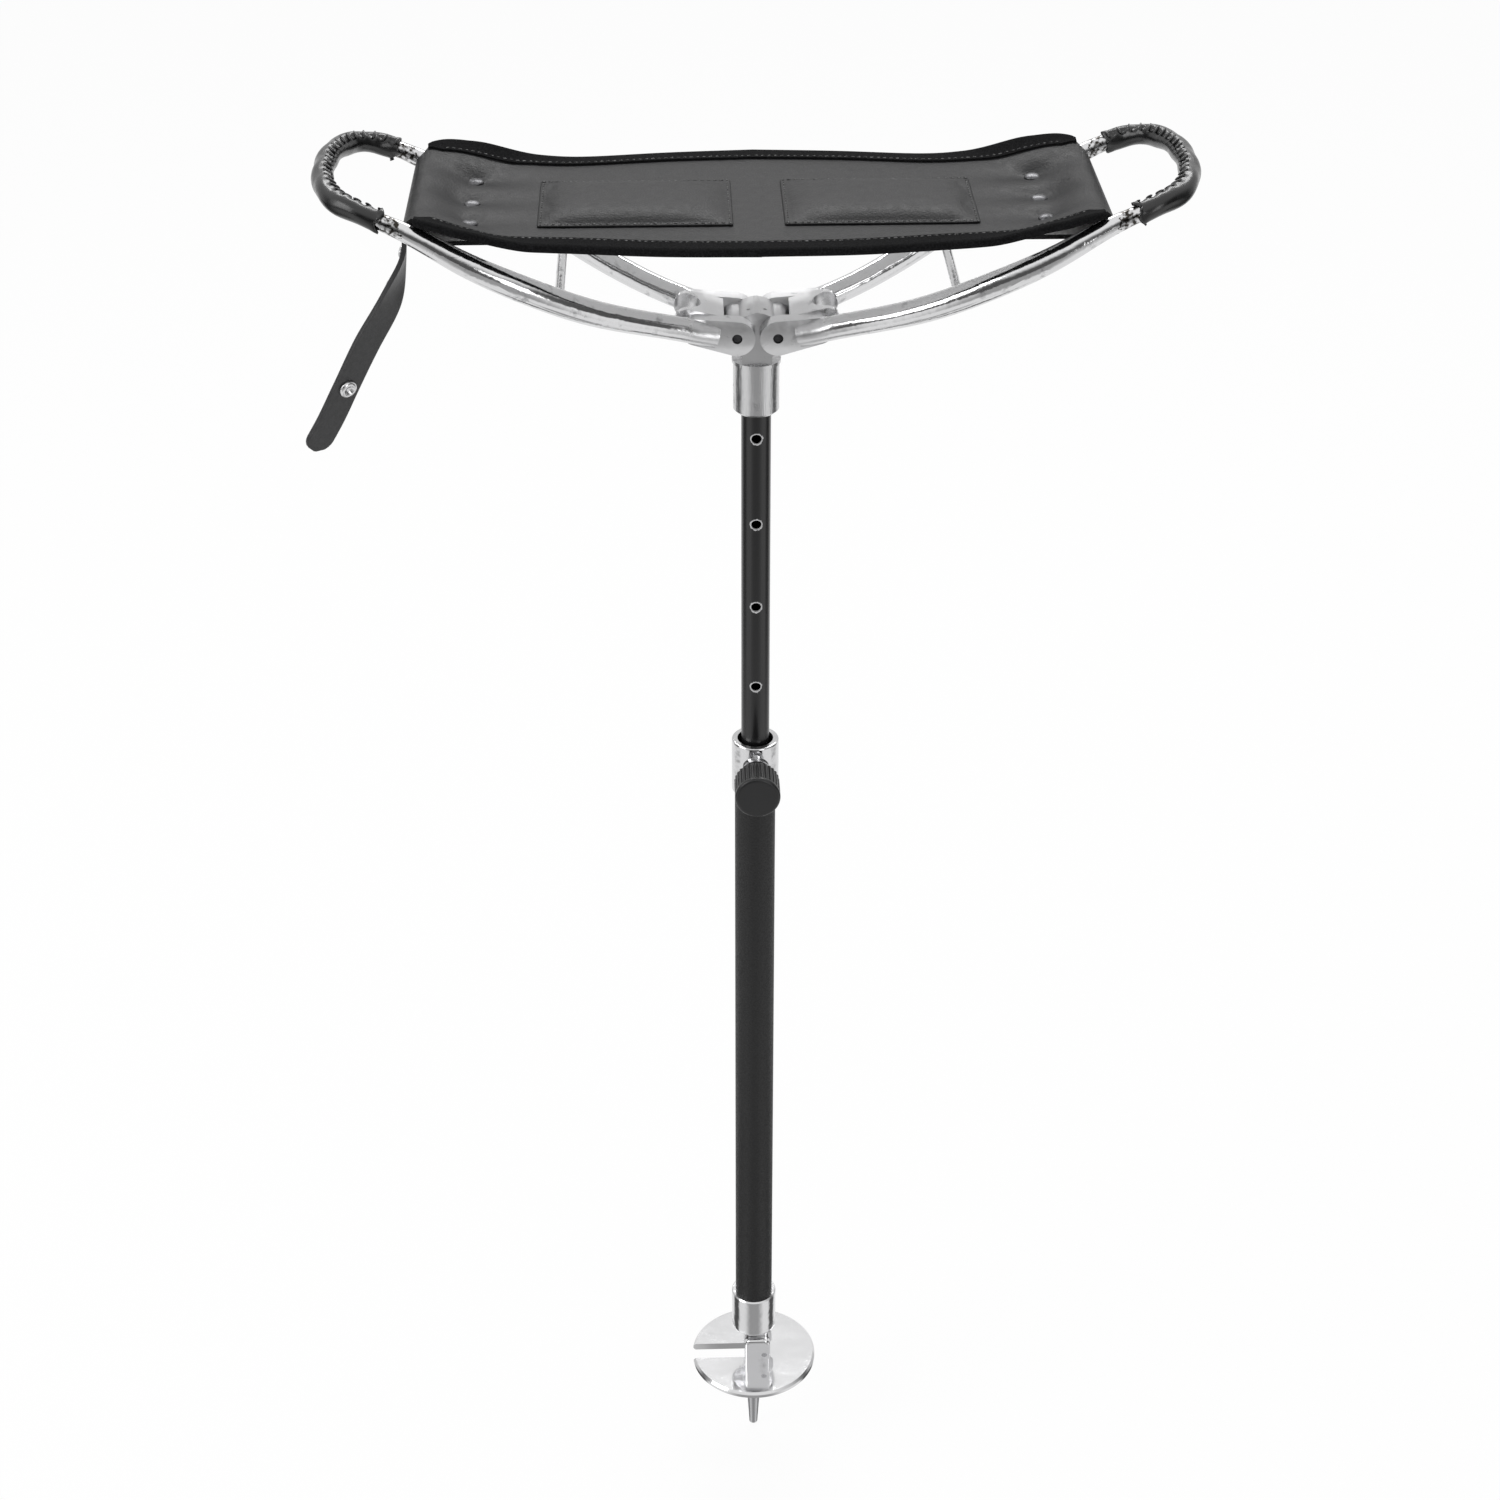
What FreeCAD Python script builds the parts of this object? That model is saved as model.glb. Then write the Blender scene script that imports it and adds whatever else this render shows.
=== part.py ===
import FreeCAD, Part
import math
import os
from FreeCAD import Vector as V

os.makedirs("parts", exist_ok=True)

# A walking stick that opens into a seat. All sizes are in millimetres.
# The origin is on the stick's axis at the underside of the ground plate, +Z up the stick,
# +X towards the right arm as a person faces the clamp knob, so the knob points along -Y.

# Clearances
running = 0.05          # radial, for what turns or slides in a bore
face_gap = 0.30         # between flat faces that pass each other
soft_gap = 0.35         # round soft pieces that belong to another moving part

# Ground plate, its hinge and the foot
plate_diameter = 81.0
plate_thickness = 5.0
plate_bevel = 1.4
slot_width = 13.0
slot_inner_x = 6.0      # the slot runs in past the spike
lug_inner_x = -6.2
lug_outer_x = 10.4
lug_toe = 2.0           # flare at the foot of the lugs
lug_top = 27.0
lug_thickness = 4.5
lug_outer_y = 15.0
lug_corner = 4.0
plate_pin_diameter = 3.6
plate_pin_x = 6.5
plate_pin_height = 14.6
cup_diameter = 28.5
cup_bottom = 30.0
cup_length = 30.0
cup_floor = 6.0
cup_lower_edge = 2.0
cup_edge = 0.8
spike_diameter = 9.0
spike_tip_diameter = 5.2
spike_tip_chamfer = 1.2
spike_length = 61.0
spike_straight = 30.0
spike_neck_diameter = 8.0  # where the spike passes through the plate
spike_stem_diameter = 6.0
spike_stem_length = 16.0

# Tubes
lower_tube_diameter = 23.5
lower_tube_wall = 1.5
lower_tube_length = 444.8
upper_tube_diameter = 16.0
upper_tube_wall = 1.2
hole_pitch = 51.0
hole_count = 5
hole_diameter = 5.6
tube_engagement = 68.3  # upper tube below the clamp screw's axis
bead_diameter = 18.6
bead_length = 2.6
guide_ring_length = 12.0
plug_flange = 3.0
plug_stem = 16.0

# Clamp
collar_wall = 1.7
collar_below_screw = 21.0
collar_above_screw = 13.0
collar_lip = 2.2
collar_edge = 1.0
collar_boss_diameter = 15.0
collar_boss_reach = 17.0
bush_length = 34.0
bush_recess = 7.0
screw_diameter = 8.0
screw_chamfer = 0.8
screw_tip_gap = 0.4     # tip backed off from the upper tube
washer_diameter = 17.0
washer_thickness = 1.5
knob_diameter = 25.6
knob_length = 19.0
knob_flutes = 30
knob_flute_diameter = 1.9
knob_edge = 1.9
knob_shank_length = 7.0
knob_shank_diameter = 14.0
knob_shank_base = 17.5
knob_bore_depth = 12.0

# Hub
socket_diameter = 24.6
socket_above_screw = 218.0
socket_length = 29.0
socket_chamfer = 1.5
socket_bore_depth = 27.0
socket_lip_diameter = 26.0
socket_lip_height = 2.0
pivot_above_socket = 20.0
pivot_half_spacing = 10.6
hub_boss_radius = 7.0   # round each hinge pin
hub_dome_radius = 13.5
hub_dome_drop = 2.9     # the dome's centre under the hinge pins
hub_depth = 23.8
hub_stem_width = 16.0
ridge_width = 2.4
ridge_height = 0.6
dimple_diameter = 2.2
dimple_depth = 1.2
dimple_x = 4.4
dimple_y = 5.0
cross_pin_diameter = 4.0
cross_pin_in_socket = 15.0
hinge_pin_diameter = 5.2
hinge_pin_recess = 0.9

# Arms: half of the rail's centre line, from the ear to the middle of the end loop.
# Each point is the distance out from the stick, out from the middle plane, and the height
# above the hinge pin.
ear_radius = 9.4
ear_thickness = 8.6
rail_route = [
    (22.0, 16.6, 1.0),
    (49.0, 25.0, 9.5),
    (85.0, 41.0, 24.0),
    (116.0, 52.5, 40.5),
    (150.0, 56.0, 58.5),
    (176.0, 54.0, 73.0),
    (196.0, 52.0, 81.5),
    (209.0, 43.0, 85.0),
    (216.5, 24.0, 86.6),
    (218.5, 0.0, 87.0),
]
rail_sections = [       # how far out from the stick, and the rail's diameter there
    (100.0, 13.8),
    (150.0, 12.0),
]
rail_at_bar = 10.4
rail_root_diameter = 14.0
loop_diameter = 8.4
grip_start_x = 187.0
web_gap = 1.5           # between the hub's boss and the hollow of the yoke
web_inner_x = 17.2      # the yoke's upright inner face
web_outer_x = 29.0      # bottom of the rounded crotch between the rails
crotch_radius = 9.5
web_round = 7.2
web_rise = 6.0          # the yoke's back over the rails' root
ear_length = 21.4       # from the pin to where the ear has become the rail
strut_x = 101.0
strut_diameter = 5.0
bar_x = 170.0
bar_above_pivot = 70.0
bar_diameter = 8.0
bar_socket = 3.0        # how far the bar's ends go into the rails
grip_diameter = 11.4
grip_gap = 0.15         # glue between the leather and the rail
lace_diameter = 1.8
lace_gap = 0.15          # the lacing lies this far off the leather
lace_points = 28         # on the lacing's curve

# Seat sling
sling_thickness = 3.0
sling_below_bar = 3.5    # middle of the sling's thickness to the bars' axis
sling_half_width = 71.0
sling_waist_x = 95.0
sling_waist_half_width = 64.0
shoulder_from_bar = 31.0
sling_shoulder_half_width = 62.0
pocket_half_width = 48.0
pocket_taper = 18.0     # the sling is as narrow as its pockets this far from the bar
return_length = 39.0
rivet_from_bar = 25.0
rivet_spacing = 30.0
rivet_head_diameter = 9.0
rivet_head_height = 1.8
rivet_shank_diameter = 4.0
binding_width = 11.0
binding_proud = 1.1
pad_length = 98.0
pad_width = 66.0
pad_thickness = 4.0
pad_inner_x = 12.0
pad_middle_y = -5.0
pad_corner = 6.0

# Retaining strap and its snap
strap_width = 16.0
strap_thickness = 2.6
strap_middle_y = -39.5
strap_route = [         # out from the left bar's axis, and above it
    (5.65, 0.0),
    (7.2, -11.0),
    (10.8, -24.0),
    (17.0, -41.0),
    (29.5, -62.5),
    (42.0, -86.5),
    (51.0, -104.0),
    (61.0, -121.0),
]
snap_place = 0.70       # share of the strap's length down from the bar
stud_place = 0.24
snap_cap_diameter = 13.0
snap_cap_height = 3.2
snap_back_diameter = 10.0
snap_back_height = 2.2
snap_stem_radius = 1.4
stud_flange = 0.8
strap_rivet_diameter = 6.4
strap_rivet_place = 0.10
snap_seat = 0.25        # flat metal on the curved strap

# Worked out from the sizes above
X = V(1, 0, 0)
Y = V(0, 1, 0)
Z = V(0, 0, 1)
ORIGIN = V(0, 0, 0)
plate_radius = plate_diameter / 2
slot_half = slot_width / 2
cup_top = cup_bottom + cup_length
tongue_bottom = plate_thickness + face_gap
tube_bottom = cup_bottom + cup_floor
lower_radius = lower_tube_diameter / 2
lower_bore = lower_radius - lower_tube_wall
lower_tube_top = tube_bottom + lower_tube_length
collar_top = lower_tube_top + collar_lip
screw_height = collar_top - collar_above_screw
upper_radius = upper_tube_diameter / 2
upper_bore = upper_radius - upper_tube_wall
collar_bottom = screw_height - collar_below_screw
collar_radius = lower_radius + collar_wall
upper_tube_bottom = screw_height - tube_engagement
socket_bottom = screw_height + socket_above_screw
socket_top = socket_bottom + socket_length
pivot_height = socket_top + pivot_above_socket
cross_pin_height = socket_bottom + cross_pin_in_socket
screw_radius = screw_diameter / 2
ear_inner_y = hub_depth / 2 + face_gap
ear_outer_y = ear_inner_y + ear_thickness
bar_radius = bar_diameter / 2
bar_height = pivot_height + bar_above_pivot
sling_height = bar_height - sling_below_bar
sling_shoulder_x = bar_x - shoulder_from_bar
pocket_start_x = bar_x - pocket_taper
return_start_x = bar_x - return_length
rivet_x = bar_x - rivet_from_bar
pocket_inner = bar_radius + soft_gap
pocket_outer = pocket_inner + sling_thickness
sling_top = sling_height + sling_thickness / 2


def save(name, shape):
    """Write one node, as a single solid or a group of separate solids."""
    solids = shape.Solids
    result = solids[0] if len(solids) == 1 else Part.Compound(solids)
    result.exportStep("parts/" + name + ".step")


def rod(radius, start, direction, length):
    return Part.makeCylinder(radius, length, start, direction)


def taper(radius_a, radius_b, start, direction, length):
    return Part.makeCone(radius_a, radius_b, length, start, direction)


def block(x_range, y_range, z_range):
    size = [high - low for low, high in (x_range, y_range, z_range)]
    return Part.makeBox(*size, V(x_range[0], y_range[0], z_range[0]))


def ring(outer, inner, start, direction, length):
    return rod(outer, start, direction, length).cut(rod(inner, start, direction, length))


def rims(shape, axis=None, low=0.0, high=0.0):
    """Full circle edges, all of them or those that lie between two places along an axis."""
    circles = [e for e in shape.Edges if len(e.Vertexes) == 1]
    if axis is None:
        return circles
    return [e for e in circles if low <= e.CenterOfMass.dot(axis) <= high]


def mirrored(shape):
    """The same piece for the left side."""
    return shape.mirror(ORIGIN, X)


def belt(circle_a, circle_b, y_range):
    """The shape of a belt round two circles in the XZ plane, through a depth along Y."""
    (xa, za, ra), (xb, zb, rb) = circle_a, circle_b
    reach = math.hypot(xb - xa, zb - za)
    heading = math.atan2(zb - za, xb - xa)
    lean = math.acos((ra - rb) / reach)
    corners = []
    for x, z, radius, side in ((xa, za, ra, 1), (xb, zb, rb, 1), (xb, zb, rb, -1), (xa, za, ra, -1)):
        angle = heading + side * lean
        corners.append(V(x + radius * math.cos(angle), y_range[0], z + radius * math.sin(angle)))
    middle = Part.Face(Part.makePolygon(corners + corners[:1]))
    depth = y_range[1] - y_range[0]
    shape = middle.extrude(Y * depth)
    for x, z, radius in (circle_a, circle_b):
        shape = shape.fuse(rod(radius, V(x, y_range[0], z), Y, depth))
    return shape.removeSplitter()


def pipe(points, stations, first_tangent=None, last_tangent=None):
    """A round bar along a smooth curve; stations give (share of the way, radius)."""
    curve = Part.BSplineCurve()
    if first_tangent and last_tangent:
        curve.interpolate(Points=points, InitialTangent=first_tangent, FinalTangent=last_tangent)
    else:
        curve.interpolate(Points=points)
    spine = Part.Wire(curve.toShape())
    shell = Part.BRepOffsetAPI.MakePipeShell(spine)
    shell.setFrenetMode(False)
    first, last = curve.FirstParameter, curve.LastParameter
    for share, radius in stations:
        at = first + share * (last - first)
        circle = Part.Circle(curve.value(at), curve.tangent(at)[0], radius)
        shell.add(Part.Wire(circle.toShape()), False, False)
    shell.build()
    shell.makeSolid()
    return shell.shape(), curve


# Ground plate: a disc with a slot for the spike to pass, and two lugs for the hinge pin
def make_ground_plate():
    disc = rod(plate_radius, ORIGIN, Z, plate_thickness)
    plate = disc.makeChamfer(plate_bevel, rims(disc))
    for side in (-1, 1):
        plate = plate.fuse(make_plate_lug(side))
    slot = block((-plate_diameter, slot_inner_x), (-slot_half, slot_half), (-1, plate_thickness + 1))
    plate = plate.cut(slot)
    bore = rod(plate_pin_diameter / 2, V(plate_pin_x, -plate_radius, plate_pin_height), Y, plate_diameter)
    return plate.cut(bore).removeSplitter()


def make_plate_lug(side):
    near, far = sorted((side * (lug_outer_y - lug_thickness), side * lug_outer_y))
    lug = block((lug_inner_x, lug_outer_x), (near, far), (plate_thickness / 2, lug_top))
    upright = [e for e in lug.Edges if e.BoundBox.ZMin > lug_top - 0.01 and e.BoundBox.YLength > 1]
    lug = lug.makeFillet(lug_corner, upright)
    face_y = side * lug_outer_y
    rim = [e for e in lug.Edges if e.BoundBox.ZMin > plate_thickness and abs(e.CenterOfMass.y - face_y) < 0.01
           and e.BoundBox.ZMax > lug_top - lug_corner + 0.1]
    lug = lug.makeFillet(lug_corner / 2, rim)
    toe = Part.makePolygon([
        V(lug_outer_x - 1, near, plate_thickness / 2),
        V(lug_outer_x + lug_toe, near, plate_thickness / 2),
        V(lug_outer_x + lug_toe, near, plate_thickness + lug_toe),
        V(lug_outer_x - 1, near, plate_thickness + 3 * lug_toe),
        V(lug_outer_x - 1, near, plate_thickness / 2),
    ])
    return lug.fuse(Part.Face(toe).extrude(Y * lug_thickness))


# Hinge pin of the plate: pressed into both lugs
def make_plate_pin():
    return rod(plate_pin_diameter / 2, V(plate_pin_x, -lug_outer_y, plate_pin_height), Y, 2 * lug_outer_y)


# Foot casting: a cup for the tube with a tongue that stands between the plate's lugs
def make_foot_casting():
    cup = rod(cup_diameter / 2, V(0, 0, cup_bottom), Z, cup_length)
    cup = cup.makeFillet(cup_lower_edge, rims(cup, Z, cup_bottom - 0.1, cup_bottom + 0.1))
    cup = cup.makeChamfer(cup_edge, rims(cup, Z, cup_top - 0.1, cup_top + 0.1))
    half = lug_outer_y - lug_thickness - face_gap
    tongue = block((lug_inner_x, lug_outer_x), (-half, half), (tongue_bottom, cup_bottom + 1))
    swing = rod(plate_pin_height - tongue_bottom, V(plate_pin_x, -half, plate_pin_height), Y, 2 * half)
    corner = block((plate_pin_x, lug_outer_x), (-half, half), (tongue_bottom, plate_pin_height))
    foot = cup.fuse(tongue.cut(corner.cut(swing))).removeSplitter()
    foot = foot.cut(rod(lower_radius, V(0, 0, tube_bottom), Z, cup_length))
    foot = foot.cut(rod(plate_pin_diameter / 2 + running, V(plate_pin_x, -plate_radius, plate_pin_height),
                        Y, plate_diameter))
    return foot.cut(rod(spike_stem_diameter / 2, ORIGIN, Z, tongue_bottom + spike_stem_length))


# Ground spike: a turned steel point, screwed into the tongue
def make_ground_spike():
    neck = rod(spike_neck_diameter / 2, V(0, 0, tongue_bottom), -Z, tongue_bottom)
    body = rod(spike_diameter / 2, ORIGIN, -Z, spike_straight)
    point = taper(spike_diameter / 2, spike_tip_diameter / 2, V(0, 0, -spike_straight), -Z,
                  spike_length - spike_straight)
    point = point.makeChamfer(spike_tip_chamfer, rims(point, Z, -spike_length - 0.1, -spike_length + 0.1))
    stem = rod(spike_stem_diameter / 2, V(0, 0, tongue_bottom), Z, spike_stem_length - 0.5)
    return neck.fuse(body).fuse(point).fuse(stem).removeSplitter()


# Lower tube, with a clearance hole for the clamp screw
def make_lower_tube():
    tube = ring(lower_radius, lower_bore, V(0, 0, tube_bottom), Z, lower_tube_top - tube_bottom)
    return tube.cut(rod(screw_radius + 0.6, V(0, 0, screw_height), -Y, collar_radius * 2))


# Clamp collar: a turned sleeve over the tube's end, with a tapped boss for the screw
def make_clamp_collar():
    sleeve = rod(collar_radius, V(0, 0, collar_bottom), Z, collar_top - collar_bottom)
    sleeve = sleeve.makeFillet(collar_edge, rims(sleeve))
    boss = rod(collar_boss_diameter / 2, V(0, 0, screw_height), -Y, collar_boss_reach)
    collar = sleeve.fuse(boss).removeSplitter()
    collar = collar.cut(rod(lower_radius, V(0, 0, 0), Z, lower_tube_top))
    collar = collar.cut(rod(lower_bore, V(0, 0, 0), Z, collar_top * 2))
    return collar.cut(rod(screw_radius + running, V(0, 0, screw_height), -Y, collar_radius * 3))


# Bush: a plastic sleeve in the tube's mouth that guides the upper tube
def make_collar_bush():
    top = collar_top - bush_recess
    bush = ring(lower_bore, upper_radius + running, V(0, 0, top - bush_length), Z, bush_length)
    return bush.cut(rod(screw_radius + 0.6, V(0, 0, screw_height), -Y, collar_radius * 2))


# Clamp screw with its knurled knob; the knob is moulded on the screw's head
def make_clamp_screw():
    tip = upper_radius + screw_tip_gap
    length = knob_front() - knob_bore_depth / 2 - tip
    screw = rod(screw_radius, V(0, -tip, screw_height), -Y, length)
    return screw.makeChamfer(screw_chamfer, rims(screw))


def washer_back():
    return collar_boss_reach + face_gap


def knob_back():
    return washer_back() + washer_thickness + face_gap


def knob_front():
    return knob_back() + knob_shank_length + knob_length


def make_clamp_washer():
    return ring(washer_diameter / 2, screw_radius + running, V(0, -washer_back(), screw_height), -Y,
                washer_thickness)


def make_clamp_knob():
    head_back = knob_back() + knob_shank_length
    head = rod(knob_diameter / 2, V(0, -head_back, screw_height), -Y, knob_length)
    head = head.makeFillet(knob_edge, rims(head, Y, -knob_front() - 0.1, -knob_front() + 0.1))
    head = head.makeChamfer(screw_chamfer, rims(head, Y, -head_back - 0.1, -head_back + 0.1))
    flutes = []
    for index in range(knob_flutes):
        angle = 2 * math.pi * index / knob_flutes
        middle = V(knob_diameter / 2 * math.cos(angle), -head_back + 1,
                   screw_height + knob_diameter / 2 * math.sin(angle))
        flutes.append(rod(knob_flute_diameter / 2, middle, -Y, knob_length - knob_edge))
    head = head.cut(Part.Compound(flutes))
    shank = taper(knob_shank_diameter / 2, knob_shank_base / 2, V(0, -knob_back(), screw_height), -Y,
                  knob_shank_length)
    knob = head.fuse(shank)
    bore = rod(screw_radius, V(0, -knob_back(), screw_height), -Y,
               knob_front() - knob_bore_depth / 2 - knob_back())
    return knob.cut(bore)


# Upper tube: drilled for the clamp screw, with a rolled bead above its guide ring
def make_upper_tube():
    top = socket_bottom + socket_bore_depth
    tube = rod(upper_radius, V(0, 0, upper_tube_bottom), Z, top - upper_tube_bottom)
    bead = rod(bead_diameter / 2, V(0, 0, bead_bottom()), Z, bead_length)
    bead = bead.makeFillet(bead_length / 2.6, rims(bead))
    tube = tube.fuse(bead)
    tube = tube.cut(rod(upper_bore, V(0, 0, upper_tube_bottom - 1), Z, top))
    for index in range(hole_count):
        z = screw_height + index * hole_pitch
        tube = tube.cut(rod(hole_diameter / 2, V(0, 0, z), -Y, upper_tube_diameter))
    tube = tube.cut(rod(cross_pin_diameter / 2, V(-upper_tube_diameter, 0, cross_pin_height), X,
                        2 * upper_tube_diameter))
    return tube.removeSplitter()


def bead_bottom():
    return upper_tube_bottom + face_gap + guide_ring_length + face_gap


def make_guide_ring():
    return ring(lower_bore - running, upper_radius + running, V(0, 0, upper_tube_bottom + face_gap), Z,
                guide_ring_length)


def make_tube_plug():
    flange = rod(bead_diameter / 2, V(0, 0, upper_tube_bottom), -Z, plug_flange)
    stem = rod(upper_bore, V(0, 0, upper_tube_bottom), Z, plug_stem)
    return flange.fuse(stem).removeSplitter()


# Hub: a socket turned on the end of a block that carries both hinge pins
def make_hub():
    socket = rod(socket_diameter / 2, V(0, 0, socket_bottom), Z, socket_length)
    socket = socket.makeChamfer(socket_chamfer, rims(socket, Z, socket_bottom - 0.1, socket_bottom + 0.1))
    lip = rod(socket_lip_diameter / 2, V(0, 0, socket_top - socket_lip_height / 2), Z, socket_lip_height)
    half = hub_depth / 2
    head = belt(
        (-pivot_half_spacing, pivot_height, hub_boss_radius),
        (pivot_half_spacing, pivot_height, hub_boss_radius),
        (-half, half),
    )
    dome = rod(hub_dome_radius, V(0, -half, pivot_height - hub_dome_drop), Y, hub_depth)
    stem = block((-hub_stem_width / 2, hub_stem_width / 2), (-half + 1.5, half - 1.5),
                 (socket_top - 1, pivot_height))
    top = pivot_height - hub_dome_drop + hub_dome_radius
    ridge = belt(
        (-ridge_width / 4, top - 1, ridge_width / 4 + 0.6),
        (ridge_width / 4, top - 1, ridge_width / 4 + 0.6),
        (-half, half),
    ).common(block((-ridge_width, ridge_width), (-half, half), (top - 2, top + ridge_height)))
    hub = socket.fuse([lip, head, dome, stem, ridge]).removeSplitter()
    hub = hub.cut(rod(upper_radius, V(0, 0, 0), Z, socket_bottom + socket_bore_depth))
    for side in (-1, 1):
        hub = hub.cut(rod(hinge_pin_diameter / 2, V(side * pivot_half_spacing, -hub_depth, pivot_height), Y,
                          2 * hub_depth))
        hub = hub.cut(rod(dimple_diameter / 2, V(side * dimple_x, -dimple_y, top - dimple_depth), Z, 3.0))
    return hub.cut(rod(cross_pin_diameter / 2, V(-socket_diameter, 0, cross_pin_height), X,
                       2 * socket_diameter))


def make_hub_cross_pin():
    return rod(cross_pin_diameter / 2, V(-socket_diameter / 2 + 0.2, 0, cross_pin_height), X,
               socket_diameter - 0.4)


def make_hinge_pin():
    reach = ear_outer_y - hinge_pin_recess
    pin = rod(hinge_pin_diameter / 2, V(pivot_half_spacing, -reach, pivot_height), Y, 2 * reach)
    return pin.makeChamfer(0.5, rims(pin))


# Arms: two bowed rails that join in an end loop, cast in one piece with a yoke and a strut.
# The right arm is made and the left one is its mirror image.
def rail_points(side):
    return [V(x, side * y, pivot_height + rise) for x, y, rise in rail_route]


def route_share(x):
    """How far along the half route, 0 to 1, the rail is x out from the stick."""
    curve = half_curve()
    first, last = curve.FirstParameter, curve.LastParameter
    low, high = 0.0, 1.0
    for _ in range(40):
        middle = (low + high) / 2
        if curve.value(first + middle * (last - first)).x < x:
            low = middle
        else:
            high = middle
    return low


def half_curve():
    curve = Part.BSplineCurve()
    points = rail_points(-1)
    first = points[1] - points[0]
    curve.interpolate(Points=points, InitialTangent=first, FinalTangent=Y * first.Length)
    return curve


def make_right_arm():
    first = rail_points(-1)[1] - rail_points(-1)[0]
    stations = [(0.0, rail_root_diameter / 2)]
    stations += [(route_share(x), diameter / 2) for x, diameter in rail_sections]
    stations += [(route_share(grip_start_x), loop_diameter / 2), (1.0, loop_diameter / 2)]
    front, _ = pipe(rail_points(-1), stations, first, Y * first.Length)
    root_z = rail_points(-1)[0].z
    pieces = [front.mirror(ORIGIN, Y)]
    for side in (-1, 1):
        low = min(side * ear_inner_y, side * ear_outer_y)
        pieces.append(belt(
            (pivot_half_spacing, pivot_height, ear_radius),
            (pivot_half_spacing + ear_length, root_z + web_rise / 2, web_round),
            (low, low + ear_thickness),
        ))
    crotch_x = web_outer_x + crotch_radius
    web = belt(
        (pivot_half_spacing, pivot_height, web_round + 0.6),
        (crotch_x - 2, root_z + web_rise, web_round - 0.6),
        (-ear_inner_y - 1, ear_inner_y + 1),
    )
    pieces.append(web.cut(rod(crotch_radius, V(crotch_x, 0, pivot_height - 2 * crotch_radius), Z,
                              5 * crotch_radius)))
    pieces.append(rod(strut_diameter / 2, V(strut_x, -strut_reach(), strut_height()), Y, 2 * strut_reach()))
    arm = front.fuse(pieces)
    reach = ear_outer_y + ear_thickness
    bar_end = bar_reach() + bar_socket
    arm = arm.cut([
        rod(hub_boss_radius + web_gap, V(pivot_half_spacing, -ear_inner_y, pivot_height), Y, 2 * ear_inner_y),
        block((-web_inner_x, web_inner_x), (-ear_inner_y, ear_inner_y), (pivot_height, bar_height)),
        rod(hinge_pin_diameter / 2 + running, V(pivot_half_spacing, -reach, pivot_height), Y, 2 * reach),
        rod(bar_radius, V(bar_x, -bar_end, bar_height), Y, 2 * bar_end),
    ])
    return arm.removeSplitter()


def route_at(x):
    """The front rail's centre where it is x out from the stick."""
    curve = half_curve()
    first, last = curve.FirstParameter, curve.LastParameter
    return curve.value(first + route_share(x) * (last - first))


def strut_reach():
    return -route_at(strut_x).y


def strut_height():
    return route_at(strut_x).z - 1.5


def bar_reach():
    return -route_at(bar_x).y - rail_at_bar / 2 + 0.6


def make_right_bar():
    reach = bar_reach() + bar_socket
    return rod(bar_radius, V(bar_x, -reach, bar_height), Y, 2 * reach)


# Leather grip on the loop and its whip stitched lacing
def grip_points():
    curve = half_curve()
    first, last = curve.FirstParameter, curve.LastParameter
    split = route_share(grip_start_x)
    count = 7
    half = []
    for index in range(count):
        share = split + (1 - split) * index / (count - 1)
        half.append(curve.value(first + share * (last - first)))
    back = [V(p.x, -p.y, p.z) for p in reversed(half[:-1])]
    return half + back


def make_right_grip():
    points = grip_points()
    outer, _ = pipe(points, [(0.0, grip_diameter / 2), (1.0, grip_diameter / 2)])
    bare, _ = pipe(points, [(0.0, loop_diameter / 2 + grip_gap), (1.0, loop_diameter / 2 + grip_gap)])
    return outer.cut(bare)


def make_right_lacing():
    points = grip_points()
    curve = Part.BSplineCurve()
    curve.interpolate(Points=points)
    first, last = curve.FirstParameter, curve.LastParameter
    reach = (grip_diameter + lace_diameter) / 2 + lace_gap
    line = []
    for index in range(2, lace_points - 1):
        at = first + (last - first) * index / lace_points
        along = curve.tangent(at)[0]
        inward = Z.cross(along)
        inward.normalize()
        upward = along.cross(inward)
        line.append(curve.value(at) + (inward + upward) * (reach / math.sqrt(2)))
    lace, _ = pipe(line, [(0.0, lace_diameter / 2), (1.0, lace_diameter / 2)])
    return lace


# Seat sling: a strip whose ends go round the bars and are riveted back under it
def sling_outline(inset=0.0, end_x=None):
    """Plan of the strip, a face in the XY plane."""
    end = end_x if end_x else bar_x + pocket_outer
    shoulder = sling_shoulder_half_width - inset
    right = [
        V(0, sling_half_width - inset, 0),
        V(sling_waist_x / 2, (sling_half_width + sling_waist_half_width) / 2 - inset, 0),
        V(sling_waist_x, sling_waist_half_width - inset, 0),
        V(sling_shoulder_x, shoulder, 0),
    ]
    left = [V(-p.x, p.y, 0) for p in reversed(right[1:])]
    upper = Part.BSplineCurve()
    upper.interpolate(left + right)
    half = pocket_half_width - inset
    corners = [
        V(sling_shoulder_x, shoulder, 0),
        V(pocket_start_x, half, 0),
        V(end, half, 0),
    ]
    right_side = corners + [V(p.x, -p.y, 0) for p in reversed(corners)]
    lower = Part.BSplineCurve()
    lower.interpolate([V(p.x, -p.y, 0) for p in left + right])
    left_side = [V(-p.x, p.y, 0) for p in right_side]
    edges = [upper.toShape(), lower.toShape()]
    for line in (right_side, left_side):
        edges += [Part.LineSegment(a, b).toShape() for a, b in zip(line, line[1:])]
    wire = Part.Wire(Part.__sortEdges__(edges))
    return Part.Face(wire)


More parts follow.
